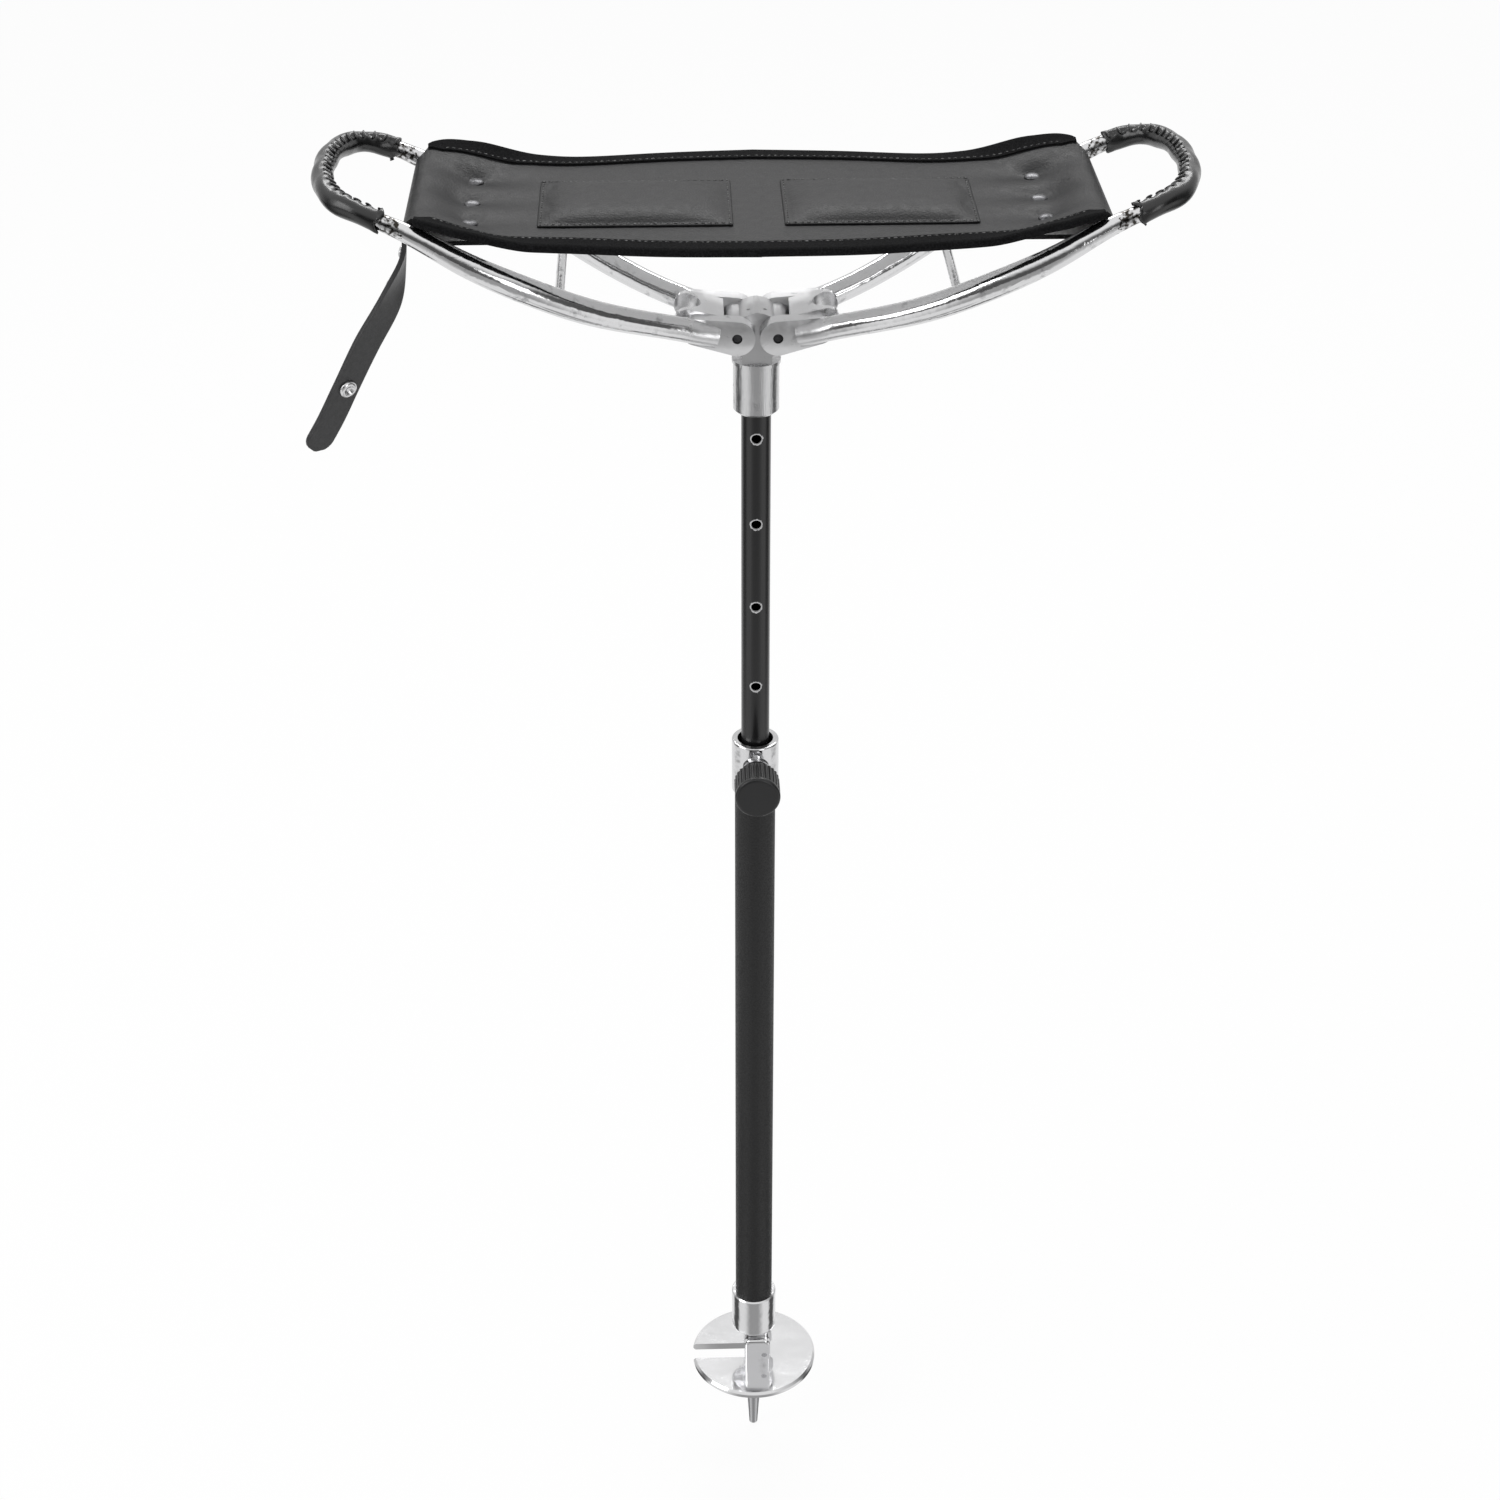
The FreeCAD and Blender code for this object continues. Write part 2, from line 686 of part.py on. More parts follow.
def strip_profile(extra=0.0):
    """Side view of the strip without its pockets, in the XZ plane, from left to right."""
    half = sling_thickness / 2 + extra
    rise = bar_height + pocket_inner + sling_thickness / 2 - sling_height
    line = [
        (0, 0.0),
        (rivet_x + rivet_head_diameter / 2 + 1.0, 0.0),
        (bar_x - 3.0, rise - 0.4),
        (bar_x, rise),
    ]
    both = [(-x, z) for x, z in reversed(line[1:])] + line
    top = [V(x, 0, sling_height + z + half) for x, z in both]
    under = [V(x, 0, sling_height + z - half) for x, z in both]
    ring_points = top + list(reversed(under))
    return Part.Face(Part.makePolygon(ring_points + ring_points[:1]))


def full_width(face):
    depth = 2 * sling_half_width + 20
    face = face.copy()
    face.translate(Y * (-depth / 2))
    return face.extrude(Y * depth)


def make_sling():
    """The strip with its pockets; the holes are wider than the rivets that belong to the arms."""
    strip = full_width(strip_profile())
    depth = 2 * sling_half_width
    for side in (-1, 1):
        middle = V(side * bar_x, -depth / 2, bar_height)
        pocket = rod(pocket_outer, middle, Y, depth)
        under = bar_height - pocket_outer
        low, high = sorted((side * return_start_x, side * bar_x))
        strip = strip.fuse(pocket)
        strip = strip.fuse(block((low, high), (-pocket_half_width, pocket_half_width),
                                 (under, under + sling_thickness)))
        strip = strip.cut(rod(pocket_inner, middle, Y, depth))
    plan = sling_outline()
    plan.translate(Z * (bar_height - 40))
    sling = strip.common(plan.extrude(Z * 80))
    for side in (-1, 1):
        for index in (-1, 0, 1):
            sling = sling.cut(rod(rivet_shank_diameter / 2 + soft_gap,
                                  V(side * rivet_x, index * rivet_spacing, 0), Z, bar_height * 2))
    notch = block((-bar_x - 20, -bar_x + pocket_outer + 1),
                  (-depth, strap_middle_y + strap_width / 2 + 0.6), (bar_height - 20, bar_height + 20))
    return sling.cut(notch).removeSplitter()


# Edge bindings: strips folded over the front and rear edges of the sling
def make_binding(side):
    thick = full_width(strip_profile(binding_proud))
    outer = sling_outline(-binding_proud, sling_shoulder_x + 6)
    inner = sling_outline(binding_width, bar_x * 2)
    for face in (outer, inner):
        face.translate(Z * (bar_height - 40))
    band = outer.extrude(Z * 80).cut(inner.extrude(Z * 80))
    band = band.common(thick)
    reach = sling_half_width + 20
    half = block((-bar_x, bar_x), (0, reach), (0, bar_height * 2))
    if side < 0:
        half = block((-bar_x, bar_x), (-reach, 0), (0, bar_height * 2))
    band = band.common(half)
    band = band.common(block((-sling_shoulder_x, sling_shoulder_x), (-reach, reach), (0, bar_height * 2)))
    plan = sling_outline()
    plan.translate(Z * (bar_height - 40))
    core = full_width(strip_profile()).common(plan.extrude(Z * 80))
    return band.cut(core).removeSplitter()


def make_right_pad():
    front = pad_middle_y - pad_width / 2
    pad = block((pad_inner_x, pad_inner_x + pad_length), (front, front + pad_width),
                (sling_top, sling_top + pad_thickness))
    upright = [e for e in pad.Edges if abs(e.BoundBox.ZLength - pad_thickness) < 0.01]
    pad = pad.makeFillet(pad_corner, upright)
    top = [e for e in pad.Edges if e.BoundBox.ZMin > sling_top + pad_thickness - 0.01]
    return pad.makeChamfer(pad_thickness * 0.45, top)


def make_right_rivets():
    rivets = []
    bottom = bar_height - pocket_outer
    for index in (-1, 0, 1):
        at = V(rivet_x, index * rivet_spacing, 0)
        shank = rod(rivet_shank_diameter / 2, at + Z * (bottom - 1.4), Z, sling_top - bottom + 2.0)
        head = taper(rivet_head_diameter / 2, rivet_head_diameter / 4, at + Z * (sling_top + soft_gap), Z,
                     rivet_head_height)
        burr = rod(rivet_head_diameter / 2 - 0.8, at + Z * (bottom - soft_gap), -Z, 1.2)
        rivets.append(shank.fuse(head).fuse(burr).removeSplitter())
    return Part.Compound(rivets)


# Retaining strap: a leather strip that hangs from the left bar by a riveted loop
def strap_curve():
    curve = Part.BSplineCurve()
    curve.interpolate([V(-bar_x - out, 0, bar_height + rise) for out, rise in strap_route])
    return curve


def strap_frame(share):
    """Point, direction down the strap and outward normal at a share of its length."""
    curve = strap_curve()
    at = curve.FirstParameter + share * (curve.LastParameter - curve.FirstParameter)
    along = curve.tangent(at)[0]
    return curve.value(at), along, along.cross(Y)


def make_strap():
    count = 18
    half = strap_thickness / 2
    front = []
    back = []
    for index in range(count + 1):
        point, along, out = strap_frame(index / count)
        front.append(point + out * half)
        back.append(point - out * half)
    edges = []
    for line in (front, back):
        curve = Part.BSplineCurve()
        curve.interpolate(line)
        edges.append(curve.toShape())
    edges.append(Part.LineSegment(front[0], back[0]).toShape())
    edges.append(Part.LineSegment(front[-1], back[-1]).toShape())
    face = Part.Face(Part.Wire(Part.__sortEdges__(edges)))
    face.translate(Y * (strap_middle_y - strap_width / 2))
    strip = face.extrude(Y * strap_width)
    start = V(-bar_x, strap_middle_y - strap_width / 2, bar_height)
    outer = bar_radius + soft_gap + strap_thickness
    strap = strip.fuse(rod(outer, start, Y, strap_width))
    strap = strap.cut(rod(bar_radius + soft_gap, start, Y, strap_width))
    for share in (snap_place, stud_place, strap_rivet_place):
        middle, out = on_strap(share)
        hole = rod(snap_stem_radius + 0.1, middle - out * strap_thickness, out, 2 * strap_thickness)
        strap = strap.cut(hole)
    return strap.removeSplitter()


def on_strap(share):
    point, along, out = strap_frame(share)
    return V(point.x, strap_middle_y, point.z), out


def make_snap_cap():
    middle, out = on_strap(snap_place)
    base = middle - out * (strap_thickness / 2 + snap_seat)
    cap = taper(snap_cap_diameter / 2, snap_cap_diameter / 4, base, -out, snap_cap_height)
    return cap.fuse(rod(snap_stem_radius, base, out, strap_thickness + snap_seat)).removeSplitter()


def make_snap_socket():
    middle, out = on_strap(snap_place)
    base = middle + out * (strap_thickness / 2 + snap_seat)
    socket = rod(snap_back_diameter / 2, base, out, snap_back_height)
    return socket.cut(rod(snap_back_diameter / 4, base + out * 0.8, out, snap_back_height))


def make_snap_stud():
    middle, out = on_strap(stud_place)
    base = middle - out * (strap_thickness / 2 + snap_seat)
    through = strap_thickness + 2 * snap_seat
    stud = rod(snap_back_diameter / 2, base, -out, stud_flange)
    stud = stud.fuse(rod(snap_back_diameter / 4 - 0.2, base, -out, snap_back_height + stud_flange))
    stem = rod(snap_stem_radius, base, out, through)
    washer = rod(snap_back_diameter / 2 - 1, base + out * through, out, stud_flange)
    return stud.fuse(stem).fuse(washer).removeSplitter()


def make_strap_rivet():
    middle, out = on_strap(strap_rivet_place)
    start = middle - out * (strap_thickness / 2 + snap_seat)
    through = strap_thickness + 2 * snap_seat
    rivet = rod(snap_stem_radius, start, out, through)
    for base, way in ((start, -1), (start + out * through, 1)):
        rivet = rivet.fuse(taper(strap_rivet_diameter / 2, strap_rivet_diameter / 3, base, out * way, 1.0))
    return rivet.removeSplitter()


save("ground_plate", make_ground_plate())
save("plate_hinge_pin", make_plate_pin())
save("foot_casting", make_foot_casting())
save("ground_spike", make_ground_spike())
save("lower_tube", make_lower_tube())
save("clamp_collar", make_clamp_collar())
save("collar_bush", make_collar_bush())
save("clamp_screw", make_clamp_screw())
save("clamp_washer", make_clamp_washer())
save("clamp_knob", make_clamp_knob())
save("upper_tube", make_upper_tube())
save("guide_ring", make_guide_ring())
save("tube_end_plug", make_tube_plug())
save("hub", make_hub())
save("hub_cross_pin", make_hub_cross_pin())
save("seat_sling", make_sling())
save("front_binding", make_binding(-1))
save("rear_binding", make_binding(1))
save("retaining_strap", make_strap())
save("snap_cap", make_snap_cap())
save("snap_socket", make_snap_socket())
save("snap_stud", make_snap_stud())
save("strap_rivet", make_strap_rivet())
pairs = {
    "hinge_pin": make_hinge_pin(),
    "arm": make_right_arm(),
    "sling_bar": make_right_bar(),
    "grip_cover": make_right_grip(),
    "grip_lacing": make_right_lacing(),
    "pad": make_right_pad(),
    "sling_rivets": make_right_rivets(),
}
for name, shape in pairs.items():
    save("right_" + name, shape)
    save("left_" + name, mirrored(shape))
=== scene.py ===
import math

import bmesh
import bpy
from mathutils import Matrix, Vector


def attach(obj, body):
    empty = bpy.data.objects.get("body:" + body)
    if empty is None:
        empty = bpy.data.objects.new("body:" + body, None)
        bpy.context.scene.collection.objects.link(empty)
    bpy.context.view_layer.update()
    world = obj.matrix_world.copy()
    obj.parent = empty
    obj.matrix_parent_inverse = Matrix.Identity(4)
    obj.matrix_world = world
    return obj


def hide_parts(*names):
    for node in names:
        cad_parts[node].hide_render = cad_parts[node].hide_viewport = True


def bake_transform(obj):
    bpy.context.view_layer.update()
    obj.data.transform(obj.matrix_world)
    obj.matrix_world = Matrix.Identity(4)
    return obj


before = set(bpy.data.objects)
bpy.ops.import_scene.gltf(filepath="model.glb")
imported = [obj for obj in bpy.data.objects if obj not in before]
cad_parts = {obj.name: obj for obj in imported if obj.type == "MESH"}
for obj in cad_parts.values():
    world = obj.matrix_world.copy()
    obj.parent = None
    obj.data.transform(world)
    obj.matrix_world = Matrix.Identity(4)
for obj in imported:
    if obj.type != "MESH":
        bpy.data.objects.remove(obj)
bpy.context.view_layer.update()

# Camera: the seat is seen from the front and well above, the stick running away below.
# The lens stands 1.3 m out and as high, a little to the left of the stick, and looks down at it.
camera_turn = math.radians(-2.05)
camera_aside = math.radians(-0.13)
camera_pitch = math.radians(31.66)
camera_lean = math.radians(0.09)
camera_reach = 1.3206
camera_height = 1.2888
focal_share = 2698.2 / 1500

heading = camera_turn - camera_aside
ahead = Vector((-math.sin(heading), math.cos(heading), 0))
across = Vector((math.cos(heading), math.sin(heading), 0))
upright = Vector((0, 0, 1))
sight = ahead * math.cos(camera_pitch) - upright * math.sin(camera_pitch)
above = ahead * math.sin(camera_pitch) + upright * math.cos(camera_pitch)
right_hand = across * math.cos(camera_lean) + above * math.sin(camera_lean)
overhead = above * math.cos(camera_lean) - across * math.sin(camera_lean)

lens = bpy.data.cameras.new("camera")
lens.sensor_width = 36.0
lens.lens = 36.0 * focal_share
camera = bpy.data.objects.new("camera", lens)
bpy.context.collection.objects.link(camera)
turn = Matrix((right_hand, overhead, -sight)).transposed().to_4x4()
place = Vector((camera_reach * math.sin(camera_turn), -camera_reach * math.cos(camera_turn), camera_height))
camera.matrix_world = Matrix.Translation(place) @ turn
bpy.context.scene.camera = camera
bpy.context.scene.view_settings.view_transform = "Standard"


# Studio: a pale floor just under the spike's point, a white room and soft panels. Polished
# metal mirrors it as a product studio: white behind and overhead, dark round the camera and to
# both sides. As metal sees it, the floor glows in painted bands that stand for the dark edges of
# a white sheet: a painted reflection.
def linear(code):
    """An sRGB hex colour as linear red, green, blue and alpha."""
    parts = [int(code[i:i + 2], 16) / 255 for i in (1, 3, 5)]
    return tuple(c / 12.92 if c <= 0.04045 else ((c + 0.055) / 1.055) ** 2.4 for c in parts) + (1.0,)


def add_node(owner, kind, inputs=None, **settings):
    """A shader node with its settings; an input takes a value or another node's socket."""
    made = owner.node_tree.nodes.new(kind)
    for name, value in settings.items():
        setattr(made, name, value)
    for name, value in (inputs or {}).items():
        if isinstance(value, bpy.types.NodeSocket):
            owner.node_tree.links.new(value, made.inputs[name])
        else:
            made.inputs[name].default_value = value
    return made


floor_height = -0.0625
floor_half = 6.0
room_light = 0.62
dark_room = 0.09
white_room = 0.96
backdrop_share = 0.72

world = bpy.data.worlds.new("room")
bpy.context.scene.world = world
world.use_nodes = True
world.node_tree.nodes.clear()
direction = add_node(world, "ShaderNodeTexCoord")
axes = add_node(world, "ShaderNodeSeparateXYZ", {0: direction.outputs["Generated"]})
overhead_cloth = add_node(world, "ShaderNodeMapRange", {
    "Value": axes.outputs["Z"], "From Min": 0.30, "From Max": 0.72}, interpolation_type="SMOOTHSTEP")
backdrop = add_node(world, "ShaderNodeMapRange", {
    "Value": axes.outputs["Y"], "From Min": 0.05, "From Max": 0.40}, interpolation_type="SMOOTHSTEP")
dimmer = add_node(world, "ShaderNodeMath", {0: backdrop.outputs["Result"], 1: backdrop_share},
                  operation="MULTIPLY")
whiter = add_node(world, "ShaderNodeMath", {0: overhead_cloth.outputs["Result"], 1: dimmer.outputs[0]},
                  operation="MAXIMUM")
level = add_node(world, "ShaderNodeMapRange", {
    "Value": whiter.outputs[0], "To Min": dark_room, "To Max": white_room})
path = add_node(world, "ShaderNodeLightPath")
white = add_node(world, "ShaderNodeBackground", {"Color": linear("#FFFFFF"), "Strength": 1.0})
mirrored_room = add_node(world, "ShaderNodeBackground", {
    "Color": linear("#FFFFFF"), "Strength": level.outputs["Result"]})
lit = add_node(world, "ShaderNodeBackground", {"Color": linear("#FFFFFF"), "Strength": room_light})
for_metal = add_node(world, "ShaderNodeMixShader", {
    0: path.outputs["Is Glossy Ray"], 1: lit.outputs[0], 2: mirrored_room.outputs[0]})
seen = add_node(world, "ShaderNodeMath", {
    0: path.outputs["Is Camera Ray"], 1: path.outputs["Is Transmission Ray"]}, operation="MAXIMUM")
shown = add_node(world, "ShaderNodeMixShader", {
    0: seen.outputs[0], 1: for_metal.outputs[0], 2: white.outputs[0]})
add_node(world, "ShaderNodeOutputWorld", {"Surface": shown.outputs[0]})

# The floor's paint, and a painted reflection that only glossy rays see: the floor glows in bands
# by direction round the stick, and evenly in a ring where the rails look down on it.
front_band_glow = 0.40
ring_reflection_glow = 0.92
floor_glow = 0.93
floor_paint = bpy.data.materials.new("white_floor_paint")
floor_paint.use_nodes = True
floor_paint.node_tree.nodes.clear()
spot = add_node(floor_paint, "ShaderNodeTexCoord").outputs["Object"]
axes = add_node(floor_paint, "ShaderNodeSeparateXYZ", {0: spot})
front_way = add_node(floor_paint, "ShaderNodeMath", {0: axes.outputs["Y"], 1: -1.0}, operation="MULTIPLY")
turn_about = add_node(floor_paint, "ShaderNodeMath", {0: axes.outputs["X"], 1: front_way.outputs[0]},
                      operation="ARCTAN2")
turn_about = add_node(floor_paint, "ShaderNodeMath", {0: turn_about.outputs[0]}, operation="ABSOLUTE")
bands = None
for from_turn, to_turn, step in ((0.3, 0.9, 0.55), (1.30, 1.56, -0.85), (1.95, 2.25, 0.85)):
    edge = add_node(floor_paint, "ShaderNodeMapRange", {
        "Value": turn_about.outputs[0], "From Min": from_turn, "From Max": to_turn, "To Max": step},
        interpolation_type="SMOOTHSTEP")
    bands = add_node(floor_paint, "ShaderNodeMath", {
        0: edge.outputs["Result"], 1: bands.outputs[0] if bands else front_band_glow}, operation="ADD")
distance = add_node(floor_paint, "ShaderNodeVectorMath", {0: spot}, operation="LENGTH")
ring = add_node(floor_paint, "ShaderNodeMapRange", {
    "Value": distance.outputs["Value"], "From Min": 0.30, "From Max": 0.50}, interpolation_type="SMOOTHSTEP")
past = add_node(floor_paint, "ShaderNodeMapRange", {
    "Value": distance.outputs["Value"], "From Min": 0.80, "From Max": 1.10}, interpolation_type="SMOOTHSTEP")
ring = add_node(floor_paint, "ShaderNodeMath", {0: ring.outputs["Result"], 1: past.outputs["Result"]},
                operation="SUBTRACT")
painted_floor_reflection = add_node(floor_paint, "ShaderNodeMix", {
    0: ring.outputs[0], 2: bands.outputs[0], 3: ring_reflection_glow})
path = add_node(floor_paint, "ShaderNodeLightPath")
paint = add_node(floor_paint, "ShaderNodeBsdfDiffuse", {"Color": linear("#F4F4F4")})
glow = add_node(floor_paint, "ShaderNodeEmission", {"Color": linear("#FFFFFF"), "Strength": 1.0})
# Only glossy rays see this glow: it paints dark bands into the floor's reflection in metal.
reflection_only_glow = add_node(floor_paint, "ShaderNodeEmission", {
    "Color": linear("#FFFFFF"), "Strength": painted_floor_reflection.outputs[0]})
seen = add_node(floor_paint, "ShaderNodeMath", {
    0: path.outputs["Is Camera Ray"], 1: path.outputs["Is Transmission Ray"]}, operation="MAXIMUM")
share = add_node(floor_paint, "ShaderNodeMath", {0: seen.outputs[0], 1: floor_glow}, operation="MULTIPLY")
mix = add_node(floor_paint, "ShaderNodeMixShader", {
    0: share.outputs[0], 1: paint.outputs[0], 2: glow.outputs[0]})
mix = add_node(floor_paint, "ShaderNodeMixShader", {
    0: path.outputs["Is Glossy Ray"], 1: mix.outputs[0], 2: reflection_only_glow.outputs[0]})
add_node(floor_paint, "ShaderNodeOutputMaterial", {"Surface": mix.outputs[0]})


def finish_mesh(mesh, name, material):
    """A bmesh made into an object at the origin, smooth shaded."""
    data = bpy.data.meshes.new(name)
    mesh.to_mesh(data)
    mesh.free()
    for face in data.polygons:
        face.use_smooth = True
    made = bpy.data.objects.new(name, data)
    bpy.context.collection.objects.link(made)
    data.materials.append(material)
    return made


mesh = bmesh.new()
bmesh.ops.create_grid(mesh, x_segments=1, y_segments=1, size=floor_half)
bmesh.ops.translate(mesh, verts=mesh.verts, vec=(0, 0, floor_height))
floor = finish_mesh(mesh, "floor", floor_paint)


def soft_panel(name, place, aim, width, height, power):
    """A soft light that faces a point, its size in metres and its power in watts."""
    panel = bpy.data.lights.new(name, "AREA")
    panel.shape = "RECTANGLE"
    panel.size = width
    panel.size_y = height
    panel.energy = power
    holder = bpy.data.objects.new(name, panel)
    bpy.context.collection.objects.link(holder)
    facing = (Vector(aim) - Vector(place)).to_track_quat("-Z", "Y").to_matrix().to_4x4()
    holder.matrix_world = Matrix.Translation(place) @ facing


soft_panel("rear_panel", (0.2, 1.8, 2.45), (0, 0, 0.7), 2.2, 0.5, 26)
soft_panel("left_panel", (-2.0, -0.9, 1.7), (0, 0, 0.5), 1.2, 1.6, 20)
soft_panel("front_panel", (1.3, -2.4, 1.2), (0, 0, 0.4), 1.0, 1.4, 12)


# Castings: hub, arms, collar, foot and ground plate are aluminium, cast and then polished by
# hand. They mirror the room in soft waves, with fine scratches and a dull skin left in places.
def surface(name, colour, roughness, metallic=0.0):
    """A material, its shader and the place its patterns read; further nodes are added to it."""
    made = bpy.data.materials.new(name)
    made.use_nodes = True
    shader = made.node_tree.nodes["Principled BSDF"]
    shader.inputs["Base Color"].default_value = linear(colour)
    shader.inputs["Metallic"].default_value = metallic
    shader.inputs["Roughness"].default_value = roughness
    return made, shader, add_node(made, "ShaderNodeTexCoord").outputs["Object"]


def put_in(owner, value, socket):
    """Link a node's result into a socket."""
    owner.node_tree.links.new(value, socket)


def scuffed(name, colour, dull_colour, smooth, rough, wave_mm, dull_mm, dull_from):
    """Polished metal: slow waves in the surface, fine scratches and duller patches."""
    made, shader, place = surface(name, colour, smooth, metallic=1.0)
    patches = add_node(made, "ShaderNodeTexNoise", {
        "Vector": place, "Scale": 1000 / dull_mm, "Detail": 5.0, "Roughness": 0.62})
    dull = add_node(made, "ShaderNodeMapRange", {
        "Value": patches.outputs["Fac"], "From Min": dull_from, "From Max": dull_from + 0.22})
    tint = add_node(made, "ShaderNodeMix", {
        0: dull.outputs["Result"], 6: linear(colour), 7: linear(dull_colour)}, data_type="RGBA")
    put_in(made, tint.outputs[2], shader.inputs["Base Color"])
    fine = add_node(made, "ShaderNodeTexNoise", {"Vector": place, "Scale": 1000 / 1.6, "Detail": 3.0})
    grade = add_node(made, "ShaderNodeMapRange", {
        "Value": dull.outputs["Result"], "To Min": smooth, "To Max": rough})
    spread = add_node(made, "ShaderNodeMath", {0: fine.outputs["Fac"], 1: 0.10, 2: grade.outputs["Result"]},
                      operation="MULTIPLY_ADD")
    put_in(made, spread.outputs[0], shader.inputs["Roughness"])
    wave = add_node(made, "ShaderNodeTexNoise", {"Vector": place, "Scale": 1000 / wave_mm, "Detail": 2.0})
    waves = add_node(made, "ShaderNodeBump", {
        "Height": wave.outputs["Fac"], "Strength": 0.30, "Distance": 0.0012})
    grit = add_node(made, "ShaderNodeMath", {0: fine.outputs["Fac"], 1: dull.outputs["Result"]},
                    operation="MULTIPLY")
    pits = add_node(made, "ShaderNodeBump", {
        "Height": grit.outputs[0], "Strength": 0.5, "Distance": 0.00025, "Normal": waves.outputs["Normal"]})
    put_in(made, pits.outputs["Normal"], shader.inputs["Normal"])
    return made, shader, place, tint, pits


def dress(material, *names):
    """Give CAD nodes their finish."""
    for name in names:
        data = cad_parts[name].data
        data.materials.clear()
        data.materials.append(material)


casting, *_ = scuffed("polished_cast_aluminium", "#DADADB", "#8E8E90", 0.08, 0.30, 9.0, 14.0, 0.66)
dress(casting, "clamp_collar", "foot_casting")
plate_casting, *_ = scuffed("polished_plate", "#DCDCDD", "#A4A4A6", 0.05, 0.22, 26.0, 30.0, 0.62)
dress(plate_casting, "ground_plate")

# The hub's socket was drawn through a brush: fine streaks run up and down it. The dome above it
# is left as cast and is more satin.
socket_end = 0.717
brushed, brushed_shader, place, _, brushed_pits = scuffed(
    "brushed_hub_casting", "#CFCFD0", "#8A8A8C", 0.16, 0.30, 12.0, 9.0, 0.60)
drawn = add_node(brushed, "ShaderNodeMapping", {"Vector": place, "Scale": (1900, 1900, 70)})
streaks = add_node(brushed, "ShaderNodeTexNoise", {"Vector": drawn.outputs[0], "Scale": 1.0, "Detail": 3.0})
hub_parts = add_node(brushed, "ShaderNodeSeparateXYZ", {0: place})
on_dome = add_node(brushed, "ShaderNodeMapRange", {
    "Value": hub_parts.outputs["Z"], "From Min": socket_end, "From Max": socket_end + 0.004})
drawn_part = add_node(brushed, "ShaderNodeMath", {0: on_dome.outputs["Result"], 1: -0.35, 2: 0.35},
                      operation="MULTIPLY_ADD")
scored = add_node(brushed, "ShaderNodeBump", {
    "Height": streaks.outputs["Fac"], "Strength": drawn_part.outputs[0], "Distance": 0.0003,
    "Normal": brushed_pits.outputs["Normal"]})
put_in(brushed, scored.outputs["Normal"], brushed_shader.inputs["Normal"])
hub_spread = brushed_shader.inputs["Roughness"].links[0].from_socket
satin_dome = add_node(brushed, "ShaderNodeMath", {0: on_dome.outputs["Result"], 1: 0.16, 2: hub_spread},
                      operation="MULTIPLY_ADD")
put_in(brushed, satin_dome.outputs[0], brushed_shader.inputs["Roughness"])
dress(brushed, "hub")

# Arm rails: the same casting, dull and pitted in patches, with a ragged skin of old glue and
# grime where the leather grips end.
glue_from = 0.1815
rail_casting, rail_shader, rail_place, rail_tint, rail_pits = scuffed(
    "polished_arm_casting", "#DEDEDF", "#77777A", 0.09, 0.34, 10.0, 11.0, 0.60)
parts = add_node(rail_casting, "ShaderNodeSeparateXYZ", {0: rail_place})
out = add_node(rail_casting, "ShaderNodeMath", {0: parts.outputs["X"]}, operation="ABSOLUTE")
ragged = add_node(rail_casting, "ShaderNodeTexNoise", {"Vector": rail_place, "Scale": 480.0, "Detail": 4.0})
edge = add_node(rail_casting, "ShaderNodeMath", {0: ragged.outputs["Fac"], 1: 0.012, 2: out.outputs[0]},
                operation="MULTIPLY_ADD")
start = add_node(rail_casting, "ShaderNodeMapRange", {
    "Value": edge.outputs[0], "From Min": glue_from, "From Max": glue_from + 0.0025})
stain = add_node(rail_casting, "ShaderNodeMath", {0: ragged.outputs["Fac"], 1: start.outputs["Result"]},
                 operation="MULTIPLY")
stain = add_node(rail_casting, "ShaderNodeMapRange", {
    "Value": stain.outputs[0], "From Min": 0.42, "From Max": 0.58})
grime = add_node(rail_casting, "ShaderNodeMix", {
    0: stain.outputs["Result"], 6: rail_tint.outputs[2], 7: linear("#3A3733")}, data_type="RGBA")
put_in(rail_casting, grime.outputs[2], rail_shader.inputs["Base Color"])

# The ears' flanks are buffed slightly round from top to bottom, to a radius of 26 mm about the
# height of their pin, and are more satin than the rails.
pin_height = 0.737
ear_end = 0.026
flank_radius = 0.026
flank_curve = 1 / (2 * flank_radius)
below_pin = add_node(rail_casting, "ShaderNodeMath", {0: parts.outputs["Z"], 1: pin_height},
                     operation="SUBTRACT")
sagging = add_node(rail_casting, "ShaderNodeMath", {0: below_pin.outputs[0], 1: below_pin.outputs[0]},
                   operation="MULTIPLY")
near_hub = add_node(rail_casting, "ShaderNodeMapRange", {
    "Value": out.outputs[0], "From Min": ear_end, "From Max": 0.038, "To Min": -flank_curve, "To Max": 0.0},
    interpolation_type="SMOOTHSTEP")
crowned = add_node(rail_casting, "ShaderNodeMath", {0: sagging.outputs[0], 1: near_hub.outputs["Result"]},
                   operation="MULTIPLY")
buffed = add_node(rail_casting, "ShaderNodeBump", {
    "Height": crowned.outputs[0], "Strength": 1.0, "Distance": 1.0, "Normal": rail_pits.outputs["Normal"]})
put_in(rail_casting, buffed.outputs["Normal"], rail_shader.inputs["Normal"])
rail_spread = rail_shader.inputs["Roughness"].links[0].from_socket
satin_ear = add_node(rail_casting, "ShaderNodeMapRange", {
    "Value": out.outputs[0], "From Min": ear_end, "From Max": 0.046, "To Min": 0.22, "To Max": 0.0},
    interpolation_type="SMOOTHSTEP")
satin_ear = add_node(rail_casting, "ShaderNodeMath", {0: satin_ear.outputs["Result"], 1: rail_spread},
                     operation="ADD")
put_in(rail_casting, satin_ear.outputs[0], rail_shader.inputs["Roughness"])
dress(rail_casting, "left_arm", "right_arm")


